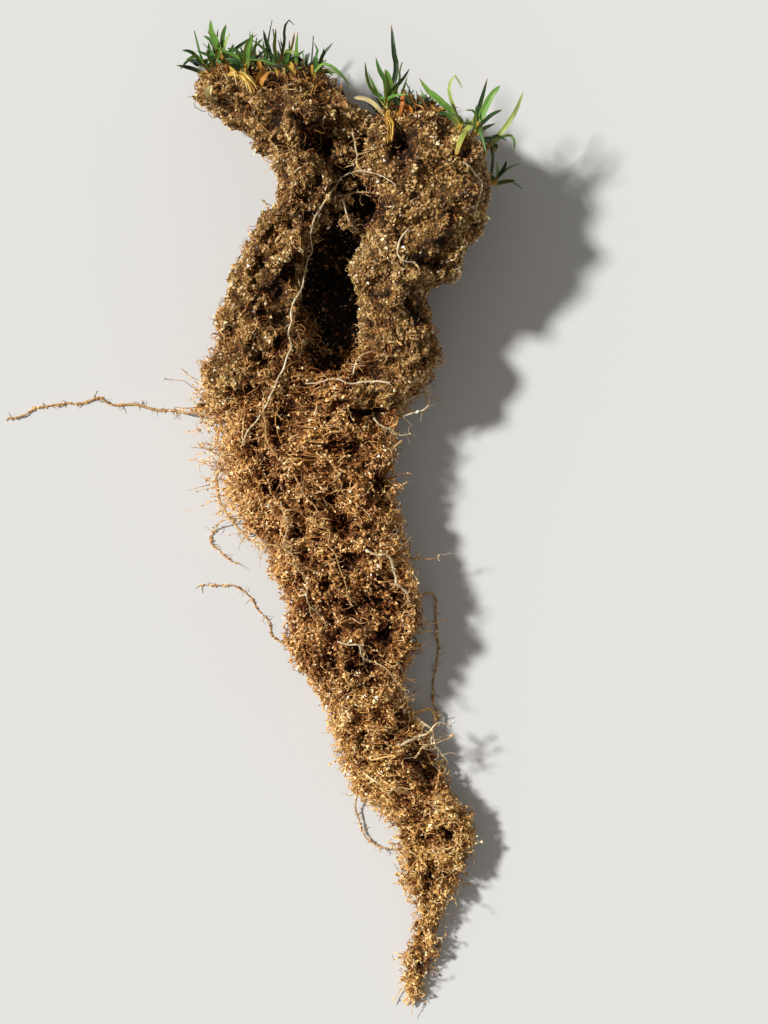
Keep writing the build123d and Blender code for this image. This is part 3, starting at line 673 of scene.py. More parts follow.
# As in the soil, the whitest colour is partly a painted highlight for glints
TAIL_SAND = ["#f4d28a", "#e8bc70", "#d6a658", "#b28440", "#f6e0ac", "#e0b060", "#f6eed6", "#886230"]
grains_on("root_tail_sand", tail_hull, 4000, FELT_GRAIN, 35, 0.9, TAIL_SAND)
rng = np.random.default_rng(42)
short = creeping_roots(tail_hull, 1150, 3.2, 0.9, rng, steps=8, curl=0.9, downward=0.35, pore_share=0.1)
long_ones = creeping_roots(tail_hull, 90, 10.0, 0.9, rng, steps=16, downward=0.95)
root_piece("root_tail_fibres", [root_tubes(short, 0.16, rng), root_tubes(long_ones, 0.18, rng)])
beads("root_tail_crumbs", short, 6, 0.32, rng, palette=TAIL_SAND)
hairs = free_roots(tail_hull, 750, 2.8, rng, 7)
wisps = free_roots(tail_hull, 70, 5.0, rng, 12, (0.55, 1.0), (0.0, -1.0, 0.0))
right_frizz = free_roots(tail_hull, 160, 3.6, rng, 10, (0.0, 0.95), (1.0, 0.0, 0.2), 0.55)
left_frizz = free_roots(tail_hull, 120, 3.6, rng, 10, (0.0, 0.95), (-1.0, 0.0, 0.2), 0.55)
root_piece("root_tail_hairs", [
    root_tubes(hairs, 0.14, rng), root_tubes(branches(hairs, 500, 1.3, rng), 0.12, rng),
    root_tubes(wisps, 0.14, rng), root_tubes(right_frizz, 0.15, rng), root_tubes(left_frizz, 0.15, rng),
    root_tubes(branches(right_frizz, 260, 1.5, rng), 0.12, rng),
    root_tubes(branches(left_frizz, 180, 1.5, rng), 0.12, rng),
])
for name, roots, each, size in (
    ("right", right_frizz, 6, 0.29), ("left", left_frizz, 6, 0.29),
    ("hair", hairs, 5, 0.29), ("wisp", wisps, 6, 0.26),
):
    beads(f"root_tail_{name}_sand", roots, each, size, rng, palette=TAIL_SAND)


# Fine roots in the soil columns. The same fibres, fewer of them, between the crumbs: most creep
# over the soil, more of them near the mat, and some stand out of it.
rng = np.random.default_rng(43)
for name, hull, low_count, count, length, lift, thickness, free_count, free_length in (
    ("left_column_fibres", left_hull, 260, 320, 4.5, 0.9, 0.14, 240, 2.2),
    ("right_column_fibres", right_hull, 200, 180, 4.0, 0.8, 0.13, 170, 2.0),
):
    low_roots = creeping_roots(hull, low_count, 3.6, 1.0, rng, 8, part=(0.0, 0.24), curl=0.9)
    parts = [root_tubes(low_roots, 0.15, rng)]
    parts.append(root_tubes(creeping_roots(hull, count, length, lift, rng, 10, curl=0.6), thickness, rng))
    parts.append(root_tubes(free_roots(hull, free_count, free_length, rng), 0.12, rng))
    root_piece(name, parts)


# Thick roots on the surface. Four pale roots lie on the crumbs: the long white one runs from the
# head of the cleft over into the mat, one crosses the cleft's foot, two curl on the right column.
def smooth_line(points, step=0.5):
    """A Catmull-Rom spline through the points, sampled about once a step."""
    points = np.array(points, float)
    padded = np.concatenate([points[:1], points, points[-1:]])
    run = np.concatenate([[0], np.cumsum(np.linalg.norm(np.diff(points, axis=0), axis=1))])
    t = np.interp(np.linspace(0, run[-1], int(run[-1] / step) + 2), run, np.arange(len(points)))
    k = np.minimum(t.astype(int), len(points) - 2)
    s = (t - k)[:, None]
    a, b, c, d = (padded[k + n] for n in range(4))
    return 0.5 * (2 * b + (c - a) * s + (2 * a - 5 * b + 4 * c - d) * s**2 + (3 * b - a - 3 * c + d) * s**3)


def surface_point(lump, share, across, up=1.0):
    """A point over a lump's section: across is 0 at its left edge and 1 at its right, and up is
    the share of the way from the floor to its upper side."""
    arc = section_oval(lump, np.full(91, share), np.linspace(np.pi, 0, 91))
    arc[:, 0] = np.maximum.accumulate(arc[:, 0])
    x = arc[0, 0] + (arc[-1, 0] - arc[0, 0]) * across
    return np.array([x, arc[0, 1], np.interp(x, arc[:, 0], arc[:, 2]) * up])


def wiggled(line, size, seed):
    """The line moved by up to size mm in smooth waves about 2 mm long."""
    return line + size * drift(line, 1.9, seed)


def laid_on(line, hulls, lift):
    """The line set on the highest ground within 0.5 mm of it: the highest of each five places in
    a row, smoothed along its length."""
    ground = np.concatenate([hull["rough"].reshape(-1, 3) for hull in hulls])
    gap = np.hypot(line[:, None, 0] - ground[None, :, 0], line[:, None, 1] - ground[None, :, 1])
    top = np.where(gap < 0.5, ground[None, :, 2], 0).max(1)
    padded = np.pad(top, 2, mode="edge")
    top = np.max([padded[n:n + len(top)] for n in range(5)], axis=0)
    top = np.convolve(np.pad(top, 3, mode="edge"), np.ones(7) / 7, "valid")
    return np.concatenate([line[:, :2], top[:, None] + lift], 1)


def length_of(line):
    """The length of a line in mm."""
    return np.linalg.norm(np.diff(line, axis=0), axis=1).sum()


def side_hairs(line, each_mm, length, rng):
    """Lines of seven points that branch off a root at random and wander, sinking to the floor."""
    steps = 7
    count = max(1, int(length_of(line) * each_mm))
    start = line[rng.integers(1, len(line), count)]
    heading = rng.normal(0, 0.8, (count, 1, 3)) + np.cumsum(rng.normal(0, 0.4, (count, steps, 3)), axis=1)
    heading[..., 2] -= 0.3
    stride = (length * rng.uniform(0.3, 1.3, count) / steps)[:, None, None]
    points = above(wander(start, heading, stride), 0.08)
    return points, np.ones(points.shape[:2])


def alone(line):
    """One line in full light, as the functions for many roots take it."""
    return line[None], np.ones((1, len(line)))


def thick_root(name, line, thickness, seed, palette, hairs_mm, sand_mm, taper=0.5):
    """A root with six sides, its side hairs, and grains of sand stuck to it: hairs_mm and sand_mm
    are how many to a millimetre."""
    rng = np.random.default_rng(seed)
    shares = np.full(len(palette), 1 / len(palette))
    piece = root_piece(name, [
        root_tubes(alone(line), thickness, rng, palette, shares, 6, taper),
        root_tubes(side_hairs(line, hairs_mm, 1.6, rng), thickness * 0.35, rng, palette, shares),
    ])
    beads(f"{name}_sand", alone(line), int(length_of(line) * sand_mm), STUCK_GRAIN, rng)
    return piece


WHITE_ROOT = ["#d8c9a8", "#c2b08c"]
TAN_ROOT = ["#cba878", "#b28c58"]
bridge_top = {"rough": bridge + (0, 0, 0.7)}
felt_top = {"rough": mat_hull["felt"] + (0, 0, 0.5)}
all_hulls = [left_hull, cleft_hull, right_hull, mat_hull, bridge_top, felt_top]

# Each root has its places (x and y, or share and across of a lump), what it lies on, the size of
# its waves, its lift, thickness, hairs and sand to a millimetre, and taper
white_places = [
    (-14.6, -0.4), (-13.1, 1.7), (-11.7, 3.9), (-10.6, 5.7), (-9.3, 8.1), (-8.4, 9.9), (-7.7, 12.7),
    (-7.9, 14.6), (-7.7, 16.4), (-7.3, 18.9), (-6.1, 21.4), (-5.7, 23.4), (-5.3, 25.6), (-4.7, 26.9),
    (-4.7, 28.7), (-4.0, 31.3), (-2.4, 33.6), (-0.9, 35.9), (0.6, 37.0), (2.3, 37.4), (5.0, 36.6),
    (7.3, 35.0),
]
cross_places = [(0.03, 0.87), (0.025, 0.78), (0.03, 0.68), (0.02, 0.60), (0.03, 0.53), (0.03, 0.46)]
curl_places = [(0.54, 0.40), (0.49, 0.37), (0.44, 0.42), (0.41, 0.50), (0.405, 0.58), (0.38, 0.64)]
edge_places = [(0.78, 0.80), (0.73, 0.89), (0.68, 0.93), (0.63, 0.93), (0.59, 0.90)]
pale_roots = {
    "long_white_root": (white_places, None, all_hulls, 0.35, 0.2, 0.3, 0.5, 1.0, 0.6),
    "cross_root": (cross_places, root_mat, all_hulls, 0.25, 0.6, 0.34, 0.6, 2.0, 0.5),
    "curled_root": (curl_places, right_column, [right_hull], 0.2, 0.25, 0.25, 0.6, 2.0, 0.5),
    "edge_root": (edge_places, right_column, [right_hull], 0.2, 0.2, 0.3, 0.6, 2.0, 0.5),
}
for n, (name, (places, lump, hulls, waves, lift, thickness, hairs_mm, sand_mm, taper)) in enumerate(
    pale_roots.items()
):
    line = smooth_line([surface_point(lump, *place) if lump else (*place, 0) for place in places])
    line = laid_on(wiggled(line, waves, 61 + n), hulls, lift)
    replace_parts(thick_root(name, line, thickness, 51 + n, WHITE_ROOT, hairs_mm, sand_mm, taper), name)


# Curls: short tan roots that stand a little off the crumbs between the columns and off the felt
curls = [
    [(1.0, 43.0), (1.6, 41.3), (1.9, 39.9), (1.7, 38.7), (2.7, 36.9)],
    [(-0.6, 33.0), (0.7, 34.3), (2.3, 34.8), (3.9, 34.5), (5.6, 33.6)],
    [(-0.2, 33.8), (0.1, 32.3), (1.0, 30.5), (1.9, 29.3)],
    [(-10.4, 41.9), (-9.6, 40.6), (-9.2, 39.4), (-8.4, 39.2)],
    [(-11.6, 34.2), (-11.0, 33.2), (-10.9, 32.4)],
    [(1.1, 9.3), (1.4, 10.9), (2.4, 12.0), (4.0, 12.4)],
    [(5.1, 26.3), (6.0, 25.0), (7.2, 24.2), (8.0, 22.6)],
    [(-11.2, 4.9), (-11.4, 2.6), (-11.3, 0.6), (-10.4, -1.4), (-9.3, -2.4)],
    [(-7.4, -5.0), (-4.7, -9.7), (-1.7, -14.4), (-1.3, -17.4), (1.4, -23.3)],
    [(3.1, -15.7), (4.7, -16.0), (6.3, -17.0), (7.6, -20.0), (9.7, -23.7)],
    [(-1.0, -28.9), (1.5, -29.6), (4.0, -31.6), (7.9, -34.7)],
    [(-13.1, -15.3), (-10.0, -14.9), (-7.9, -15.1), (-6.0, -14.0)],
    [(-9.0, -9.0), (-8.0, -12.0), (-8.3, -15.0), (-5.9, -19.0), (-4.9, -23.0), (-2.0, -26.0)],
]
FELT_EDGE = 5.0          # mm: the curls below this y lie on the felt and are wavier
PALE_ROOTS = TAN_ROOT + WHITE_ROOT
rng = np.random.default_rng(95)
parts = []
for n, places in enumerate(curls):
    waves = 0.3 if places[0][1] > FELT_EDGE else 0.8
    line = laid_on(wiggled(smooth_line([(x, y, 0) for x, y in places]), waves, 96 + n), all_hulls, 0.35)
    parts.append(root_tubes(alone(line), 0.27, rng, PALE_ROOTS, [0.35, 0.3, 0.2, 0.15], 4))
    parts.append(root_tubes(side_hairs(line, 1.6, 2.4, rng), 0.14, rng, TAN_ROOT, [0.5, 0.5]))
    beads(f"surface_root_sand_{n + 1}", alone(line), 3 * len(places), STUCK_GRAIN, rng)
root_piece("surface_roots", parts)


# Loose roots. Dry tan threads that leave the mat and the tail and come down to the floor, with
# grains of sand and finer hairs still on them.
loose_roots = {
    "stray_left_root": (root_mat, 0.12, 0.08, 0.45, 0.3, [
        (-3.5, 0.3, 3.0), (-6.5, 0.3, 0.8), (-8.5, 0.6, 0), (-12.3, 1.0, 0), (-14.0, 1.6, 0),
        (-17.2, 1.7, 0), (-19.0, 2.7, 0), (-20.6, 2.2, 0), (-23.2, 1.9, 0), (-26.2, 1.6, 0),
        (-28.9, 0.9, 0), (-30.2, -0.2, 0), (-32.4, -0.3, 0)]),
    "net_loop_upper": (root_mat, 0.16, 0.05, 0.45, 0.32, [
        (-1.6, -0.2, 4.6), (-2.7, -0.7, 4.2), (-2.6, -2.2, 4.0), (-1.2, -3.9, 4.2), (1.2, -4.6, 4.6)]),
    "net_loop_lower": (root_mat, 0.29, 0.05, 0.45, 0.32, [
        (-1.8, 0.0, 4.2), (-2.9, -0.6, 3.8), (-2.7, -2.6, 3.4), (-2.1, -5.2, 3.2), (-0.9, -7.4, 3.2),
        (0.9, -9.2, 3.4), (2.4, -10.2, 3.8), (5.4, -10.9, 4.4), (8.0, -11.0, 4.8)]),
    "left_hanging_root": (root_mat, 0.45, 0.06, 0.30, 0.24, [
        (-4.6, 0.2, 1.6), (-6.6, -1.6, 0), (-6.9, -3.0, 0), (-6.0, -4.3, 0), (-4.6, -5.5, 0),
        (-2.8, -6.2, 0)]),
    "left_low_root": (root_mat, 0.85, 0.08, 0.30, 0.24, [
        (-1.8, 0.5, 1.4), (-3.3, 1.0, 0), (-4.3, 2.0, 0), (-4.6, 3.7, 0), (-6.0, 5.2, 0), (-7.4, 7.4, 0),
        (-9.4, 8.8, 0), (-11.8, 9.3, 0), (-15.0, 9.3, 0)]),
    "right_hanging_root": (root_mat, 0.70, 0.94, 0.40, 0.24, [
        (1.6, 0.7, 3.0), (3.1, 0.9, 1.6), (4.2, -0.2, 0.6), (4.0, -2.8, 0), (4.4, -5.0, 0), (4.5, -7.6, 0),
        (4.1, -10.0, 0), (3.6, -13.6, 0), (4.6, -17.6, 0)]),
    "tail_left_strand": (root_tail, 0.25, 0.10, 0.35, 0.32, [
        (0.1, -3.2, 1.4), (0.2, -6.2, 0.8), (0.9, -9.2, 0.8), (2.8, -10.9, 1.2), (6.6, -11.5, 2.2)]),
    "tail_side_roots": (root_tail, 0.06, 0.88, 0.50, 0.42, [
        (1.6, 0.5, 3.4), (3.4, 0.6, 2.6), (4.6, -0.6, 2.0), (4.4, -2.2, 1.6), (2.8, -3.0, 1.8)]),
}
for n, (name, (lump, share, across, up, thickness, offsets)) in enumerate(loose_roots.items()):
    base = surface_point(lump, share, across, up)
    points = [base] + [(base[0] + dx, base[1] + dy, max(z, thickness / 2)) for dx, dy, z in offsets]
    line = above(wiggled(smooth_line(points, 0.4), 0.4, 70 + n), thickness / 2)
    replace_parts(thick_root(name, line, thickness, 80 + n, TAN_ROOT, 1.6, 6.0), name)


# Branching roots at the right edge. Curly dry roots with side roots reach out of the mat and the
# tail over their right edge; they are fixed in the felt at their thick ends.
edge_roots = [
    [(5.6, 7.6, 11.0), (7.7, 7.0, 11.0), (9.4, 6.0, 10.2), (11.0, 6.6, 9.4), (12.9, 6.0, 8.6)],
    [(11.0, 6.6, 9.4), (12.0, 4.9, 9.0), (9.9, 3.7, 9.2), (8.7, 3.4, 9.6)],
    [(4.1, 2.9, 11.5), (6.3, 2.0, 11.3), (7.7, 0.7, 10.4), (9.4, 0.9, 9.4)],
    [(8.1, 0.0, 9.6), (7.0, -1.3, 9.8), (6.4, -3.0, 9.4)],
    [(5.7, -11.4, 10.5), (7.9, -12.6, 9.4), (9.4, -14.9, 8.0), (9.6, -17.1, 7.0), (11.9, -16.7, 6.4),
     (13.6, -16.4, 6.0)],
    [(9.6, -17.1, 7.0), (9.0, -19.0, 6.6), (8.0, -21.0, 7.0)],
    [(6.4, -30.7, 9.0), (7.9, -33.6, 7.4), (8.3, -36.4, 6.0), (9.7, -37.9, 4.4)],
    [(7.6, -43.8, 9.0), (9.6, -43.0, 9.4), (11.4, -42.1, 8.8), (13.7, -40.3, 8.0), (15.2, -41.2, 7.4)],
    [(10.0, -45.2, 9.0), (11.9, -44.0, 8.8), (13.6, -43.1, 8.0), (15.2, -42.0, 7.4)],
    [(10.3, -39.6, 8.2), (12.1, -41.0, 8.2), (13.0, -43.6, 7.8), (14.0, -45.6, 7.0)],
]
EDGE_SHARES = [0.3, 0.2, 0.3, 0.2]
rng = np.random.default_rng(90)
parts = []
for n, points in enumerate(edge_roots):
    line = wiggled(smooth_line(points, 0.4), 0.75, 91 + n)
    parts.append(root_tubes(alone(line), 0.26, rng, PALE_ROOTS, EDGE_SHARES, 4))
    parts.append(root_tubes(side_hairs(line, 2.0, 2.2, rng), 0.13, rng, PALE_ROOTS, EDGE_SHARES))
    beads(f"edge_root_sand_{n + 1}", alone(line), 3 * len(points), STUCK_GRAIN, rng)
root_piece("edge_branching_roots", parts)


# Grass. Ten tufts of fine-leaved turf grass: leaf blades with a folded midrib, pale at the base
# where the sheath wraps them, mown or bruised at some tips. They grow out of the upper end.
# The leaf greens are partly painted light: lit is a green with painted light, and dark and deep are greens
# with painted shade for blades that stand in the shade of others
LEAF = {"lit": "#66943f", "mid": "#42702f", "dark": "#294c21", "deep": "#1a3417", "pale": "#98ae5e"}


def veined(name, roughness, specular, stretch, scale, detail, dim):
    """A material with veins along the piece: noise on its Along map, drawn out by stretch, takes
    the piece's tint from the level dim up to 1.3."""
    material, tree, shader = new_material(name, roughness, specular)
    tint = add(tree, "ShaderNodeAttribute", {"attribute_name": "tint"})
    along = add(tree, "ShaderNodeUVMap", {"uv_map": "Along"})
    drawn = add(tree, "ShaderNodeVectorMath", {"operation": "MULTIPLY", 1: stretch},
                Vector=along.outputs["UV"])
    vein = add(tree, "ShaderNodeTexNoise", {"Scale": scale, "Detail": detail}, Vector=drawn.outputs["Vector"])
    level = add(tree, "ShaderNodeMapRange", {"From Min": 0.3, "From Max": 0.7, "To Min": dim, "To Max": 1.3},
                Value=vein.outputs["Fac"])
    mixed = add(tree, "ShaderNodeVectorMath", {"operation": "SCALE"}, Scale=level.outputs["Result"])
    tree.links.new(tint.outputs["Color"], mixed.inputs[0])
    tree.links.new(mixed.outputs[0], shader.inputs["Base Color"])
    return material, shader


# Leaf blade: living grass with a thin wax, through which a little light passes
leaf, shader = veined("turf_grass_leaf", 0.45, 0.4, (0.35, 4.0, 1.0), 1.0, 2.0, 0.72)
shader.inputs["Subsurface Weight"].default_value = 0.15
shader.inputs["Subsurface Scale"].default_value = 0.0006


def ribbons(lines, width, fold, thickness, roll):
    """Closed ribbons with a folded midrib: each ring has two raised edges and the midrib's upper
    and lower side, turned about the line by roll. The map runs along each ribbon in mm."""
    along = unit(np.gradient(lines, axis=1))
    side = unit(np.cross(along, np.array([0.02, 0.01, 1.0])))
    up = np.cross(side, along)
    c, s = np.cos(roll)[:, None, None], np.sin(roll)[:, None, None]
    side, up = side * c + up * s, up * c - side * s
    half = width[..., None] / 2
    raised = up * half * fold
    midrib = up * thickness / 2
    ring = np.stack([side * half + raised, midrib, -side * half + raised, -midrib], axis=2)
    points = lines[:, :, None, :] + ring
    faces = tubes(lines, np.zeros(lines.shape[:2]), 4)[1]
    run = np.cumsum(np.linalg.norm(np.gradient(lines, axis=1), axis=-1), axis=1)
    edge = np.broadcast_to(np.array([1.0, 0.0, -1.0, 0.0]), run.shape + (4,))
    shift = 7.3 * np.arange(len(lines))[:, None, None]
    uv = np.stack([np.broadcast_to(run[:, :, None], edge.shape), edge + shift], -1)
    return points.reshape(-1, 3), faces, uv.reshape(-1, 2)


def blades(lines, widths, colours, rng, base="#b9a65c", tip_brown=0.2, fold=0.5, blunt=0.0):
    """Leaf blades: full width from a quarter of the way, pointed or blunt, and shaded from a
    pale base to the leaf colour, with brown on some tips."""
    count, steps = lines.shape[:2]
    s = np.linspace(0, 1, steps)[None, :]
    point = 1 - np.clip((s - 0.5) / 0.52, 0, 1) ** (2.4 + 8 * blunt)
    width = widths[:, None] * (0.6 + 0.4 * np.clip(s / 0.25, 0, 1)) * point
    points, faces, uv = ribbons(lines, width, fold, 0.16, rng.normal(0, 0.6, count))
    green = np.clip(s / 0.3, 0, 1)[..., None]
    shade = linear(base) * (1 - green) + colours[:, None, :] * green
    scorched = (rng.random(count) < tip_brown)[:, None, None] * np.clip((s[..., None] - 0.9) / 0.08, 0, 1)
    shade = shade * (1 - scorched) + linear("#8a6a34") * scorched
    return points, faces, np.repeat(shade, 4, axis=1).reshape(-1, 3), uv


def blade_piece(name, parts, material=leaf):
    """Blades as one mesh."""
    points, faces, colours = joined([part[:3] for part in parts])
    piece = new_piece(name, points, faces, material, colours, uv=np.concatenate([part[3] for part in parts]))
    return piece


# Each tuft has its lump and place on it, the crown's reach from there, how many young blades
# stand in it, and its leaves: width, colour, and places from the crown
tufts = {
    "grass_left_corner": (left_column, 0.95, 0.10, 0.55, (-1.1, 4.3, 1.0), 6, [
        (1.1, "dark", [(-1.7, -0.4, 0.9), (-3.3, -1.7, 0.7)]),
        (0.7, "dark", [(-1.6, 0.7, 1.4), (-3.1, 0.8, 2.0)]),
        (0.6, "mid", [(-0.7, 1.8, 1.5), (-1.1, 3.6, 2.6)]),
        (0.7, "lit", [(-0.9, 0.2, 1.6), (-2.6, -0.6, 2.2)])]),
    "grass_left_front": (left_column, 0.97, 0.18, 0.70, (0.0, 4.3, 1.5), 8, [
        (1.2, "lit", [(-0.9, 1.3, 0.9), (-1.4, 2.3, 1.5), (-1.4, 3.9, 2.1)]),
        (0.7, "mid", [(-1.3, 0.9, 0.2), (-2.7, 2.0, 0.5)]),
        (0.8, "mid", [(0.1, 1.5, 0.9), (0.5, 3.4, 2.4)]),
        (0.7, "pale", [(0.6, 0.8, 1.6), (0.9, 2.2, 2.6)])]),
    "grass_left": (left_column, 0.93, 0.36, 0.80, (0.0, 3.6, 1.5), 10, [
        (1.2, "lit", [(0.4, 1.7, 1.2), (1.0, 3.1, 2.0), (1.1, 3.8, 2.2)]),
        (0.6, "mid", [(1.2, 1.8, 0.3), (2.9, 3.6, 0.7)]),
        (0.9, "dark", [(-1.2, 0.1, 0.5), (-3.0, 0.4, 0.3)]),
        (0.7, "mid", [(-0.9, 1.4, 1.0), (-2.4, 1.9, 1.8)])]),
    "grass_middle_left": (left_column, 0.93, 0.58, 0.80, (0.0, 3.7, 1.2), 10, [
        (0.9, "lit", [(-0.4, 1.6, 1.2), (-0.3, 2.8, 1.9), (0.1, 4.3, 2.6)]),
        (0.6, "pale", [(1.0, 1.4, 0.5), (2.0, 1.4, 0.8), (2.8, 1.2, 0.8)]),
        (0.6, "dark", [(0.9, 2.2, 1.5), (1.1, 4.2, 2.4), (1.9, 5.4, 2.6), (2.5, 4.8, 2.3)]),
        (0.7, "deep", [(-1.2, 1.9, 0.4), (-1.8, 4.6, 0.8)])]),
    "grass_arching": (left_column, 0.90, 0.80, 0.80, (-0.3, 5.0, 0.6), 5, [
        (1.0, "lit", [(1.3, -0.4, 1.5), (2.7, -1.1, 2.0), (4.0, -2.1, 2.0), (5.4, -3.3, 1.5)]),
        (0.6, "mid", [(0.6, 1.2, 0.9), (0.9, 2.0, 1.3), (0.4, 2.9, 1.7)]),
        (0.6, "dark", [(1.3, 1.1, 0.2), (2.1, 2.1, 0.3), (2.8, 3.0, 0.4)]),
        (0.5, "pale", [(1.8, -0.9, 1.0), (3.6, -2.0, 1.2)])]),
    "grass_centre": (right_column, 0.93, 0.18, 0.80, (-0.2, 4.0, 1.2), 8, [
        (1.0, "lit", [
            (-1.1, 0.2, 0.6), (-1.9, 0.8, 1.1), (-2.6, 2.0, 1.7), (-3.0, 3.6, 2.2), (-3.1, 4.9, 2.5)]),
        (0.9, "mid", [(-0.2, 2.4, 0.8), (-1.0, 3.9, 1.4), (-1.6, 5.6, 2.0)]),
        (1.5, "lit", [(0.2, 2.0, 2.0), (-0.3, 4.0, 3.0)]),
        (0.9, "deep", [(1.1, 2.9, 0.5), (1.3, 4.9, 1.0), (1.0, 6.6, 1.5), (0.7, 10.1, 2.0)]),
        (0.8, "mid", [(1.6, 2.2, 1.6), (1.6, 3.4, 2.2), (2.2, 4.9, 3.0)]),
        (0.8, "dark", [(0.6, 1.0, 1.2), (1.9, 2.4, 1.8), (3.0, 4.0, 2.0)])]),
    "grass_right_middle": (right_column, 0.87, 0.78, 0.85, (0.3, 2.7, 1.2), 5, [
        (1.1, "lit", [
            (-1.4, 1.4, 1.0), (-2.4, 2.1, 1.6), (-3.7, 3.3, 2.0), (-5.0, 4.4, 2.2), (-6.0, 5.9, 2.2)]),
        (0.6, "pale", [
            (-0.8, 1.9, 0.0), (-1.5, 3.6, 0.5), (-1.5, 5.0, 0.9), (-0.9, 6.2, 1.2), (0.3, 4.4, 0.8)]),
        (0.7, "mid", [(-1.8, 0.9, 0.6), (-4.4, 1.0, 0.9)])]),
    "grass_right": (right_column, 0.84, 0.86, 0.85, (1.5, 4.0, 1.2), 6, [
        (1.2, "lit", [(1.4, 2.7, 0.8), (3.0, 4.7, 1.3)]),
        (0.7, "mid", [(-0.7, 1.0, 0.9), (-1.8, 1.3, 1.2)]),
        (0.7, "dark", [(1.6, 0.6, 1.0), (3.2, 1.4, 1.2)])]),
    "grass_far_right": (right_column, 0.80, 0.95, 0.60, (1.3, 3.2, 0.8), 6, [
        (0.8, "pale", [(2.1, 1.8, 1.0), (2.8, 2.7, 1.3), (4.0, 4.4, 1.8), (5.1, 7.0, 2.0)]),
        (0.6, "lit", [(2.0, 0.9, -0.2), (3.2, 1.0, -0.1), (3.8, 0.2, -0.2), (3.8, -0.9, -0.5)]),
        (0.9, "dark", [(1.0, 0.8, 1.0), (2.6, 0.2, 1.4)])]),
    "grass_low_right": (right_column, 0.73, 0.95, 0.60, (1.9, 0.8, 0.3), 5, [
        (0.7, "mid", [(1.4, 1.5, 0.3), (3.1, 2.3, 0.5)]),
        (0.6, "dark", [(1.6, -0.2, -0.3), (3.4, -1.1, -0.6)]),
        (0.6, "deep", [(0.8, 1.6, 0.0), (1.4, 3.0, 0.2)])]),
}
BLADE_STEPS = 10         # rings along one blade


def even_steps(points):
    """A smooth line through the points, at BLADE_STEPS even places."""
    line = smooth_line(points, 0.05)
    return line[np.linspace(0, len(line) - 1, BLADE_STEPS).astype(int)]


def sprigs(base, aim, spread, length, rng):
    """Young blades: each leaves its base along aim with some scatter and bends over a little."""
    count = len(base)
    heading = unit(aim + rng.normal(0, spread, (count, 3)))
    bend = rng.normal(0, 0.55, (count, 3))
    s = np.linspace(0, 1, BLADE_STEPS)[None, :, None]
    size = (length * rng.uniform(0.5, 1.3, count))[:, None, None]
    return above(base[:, None, :] + size * (heading[:, None, :] * s + bend[:, None, :] * s**2), 0.2)


# The four leaf greens, from painted shade to painted light
shades = linear([LEAF[key] for key in ("dark", "deep", "mid", "lit")])
for n, (name, (lump, share, across, up, reach, extra, leaves)) in enumerate(tufts.items()):
    rng = np.random.default_rng(100 + n)
    base = surface_point(lump, share, across, up)
    crown = base + np.array(reach)
    foot = base * 0.3 + crown * 0.7
    lines = np.stack([even_steps([foot] + [crown + np.array(place) for place in places])
                      for _, _, places in leaves])
    lines = lines + 0.4 * drift(lines, 3.0, 110) * np.linspace(0, 1, BLADE_STEPS)[None, :, None]
    widths = 0.85 * np.array([width for width, _, _ in leaves])
    colours = linear([LEAF[colour] for _, colour, _ in leaves])
    small = sprigs(foot + rng.normal(0, 0.5, (extra, 3)), np.array([0.0, 1.0, 0.2]), 0.6, 2.7, rng)
    lower = base - 0.6 * np.array(reach) * (1, 1, 0) + (0, 0, 0.3)
    stem = even_steps([lower, base + (0, 0, 0.7), base * 0.5 + crown * 0.5, crown * 0.9 + foot * 0.1])[None]
    stem_points, stem_faces = tubes(stem, np.linspace(0.4, 0.85, BLADE_STEPS)[None] / 2, 6)
    stem_shade = linear("#b98f3c") * np.linspace(0.7, 1.1, BLADE_STEPS)[:, None]
    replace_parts(blade_piece(f"{name}_blades", [
        blades(above(lines, 0.2), widths, colours, rng),
        blades(small, rng.uniform(0.35, 0.8, extra), shades[rng.integers(0, 4, extra)], rng),
        (stem_points, stem_faces, np.repeat(stem_shade, 6, axis=0), np.zeros((len(stem_points), 2))),
    ]), name)


def scattered_blades(hull, count, part, aim, spread, length, widest, shades, shares, rng, **looks):
    """Young blades on random places of a part of the hull, their colours drawn by their shares."""
    row, column = spread_over(hull, count, rng, 0.8, part)
    lines = sprigs(on_hull(hull, "rough", row, column), np.array(aim), spread, length, rng)
    widths = rng.uniform(*widest, count)
    return blades(lines, widths, shades[rng.choice(len(shades), count, p=shares)], rng, **looks)


# Young blades between the tufts, over the whole depth of both grass ends, most in the dark greens of painted
# shade
YOUNG_SHARES = [0.4, 0.3, 0.2, 0.1]
rng = np.random.default_rng(120)
blade_piece("young_blades", [
    scattered_blades(hull, count, (0.93, 1.0), (lean, 1.0, 0.1), 0.6, length, (0.3, widest),
                     shades, YOUNG_SHARES, rng)
    for hull, count, lean, length, widest in (
        (left_hull, 240, -0.1, 2.6, 0.75), (right_hull, 170, 0.1, 2.1, 0.65))
])


# Stems and dead sheaths. Yellow runners and papery husks lie on the soil at the feet of the
# tufts, with short straw of thatch between them.
dry, _ = veined("dry_grass_sheath", 0.6, 0.3, (0.5, 3.0, 1.0), 1.2, 3.0, 0.65)

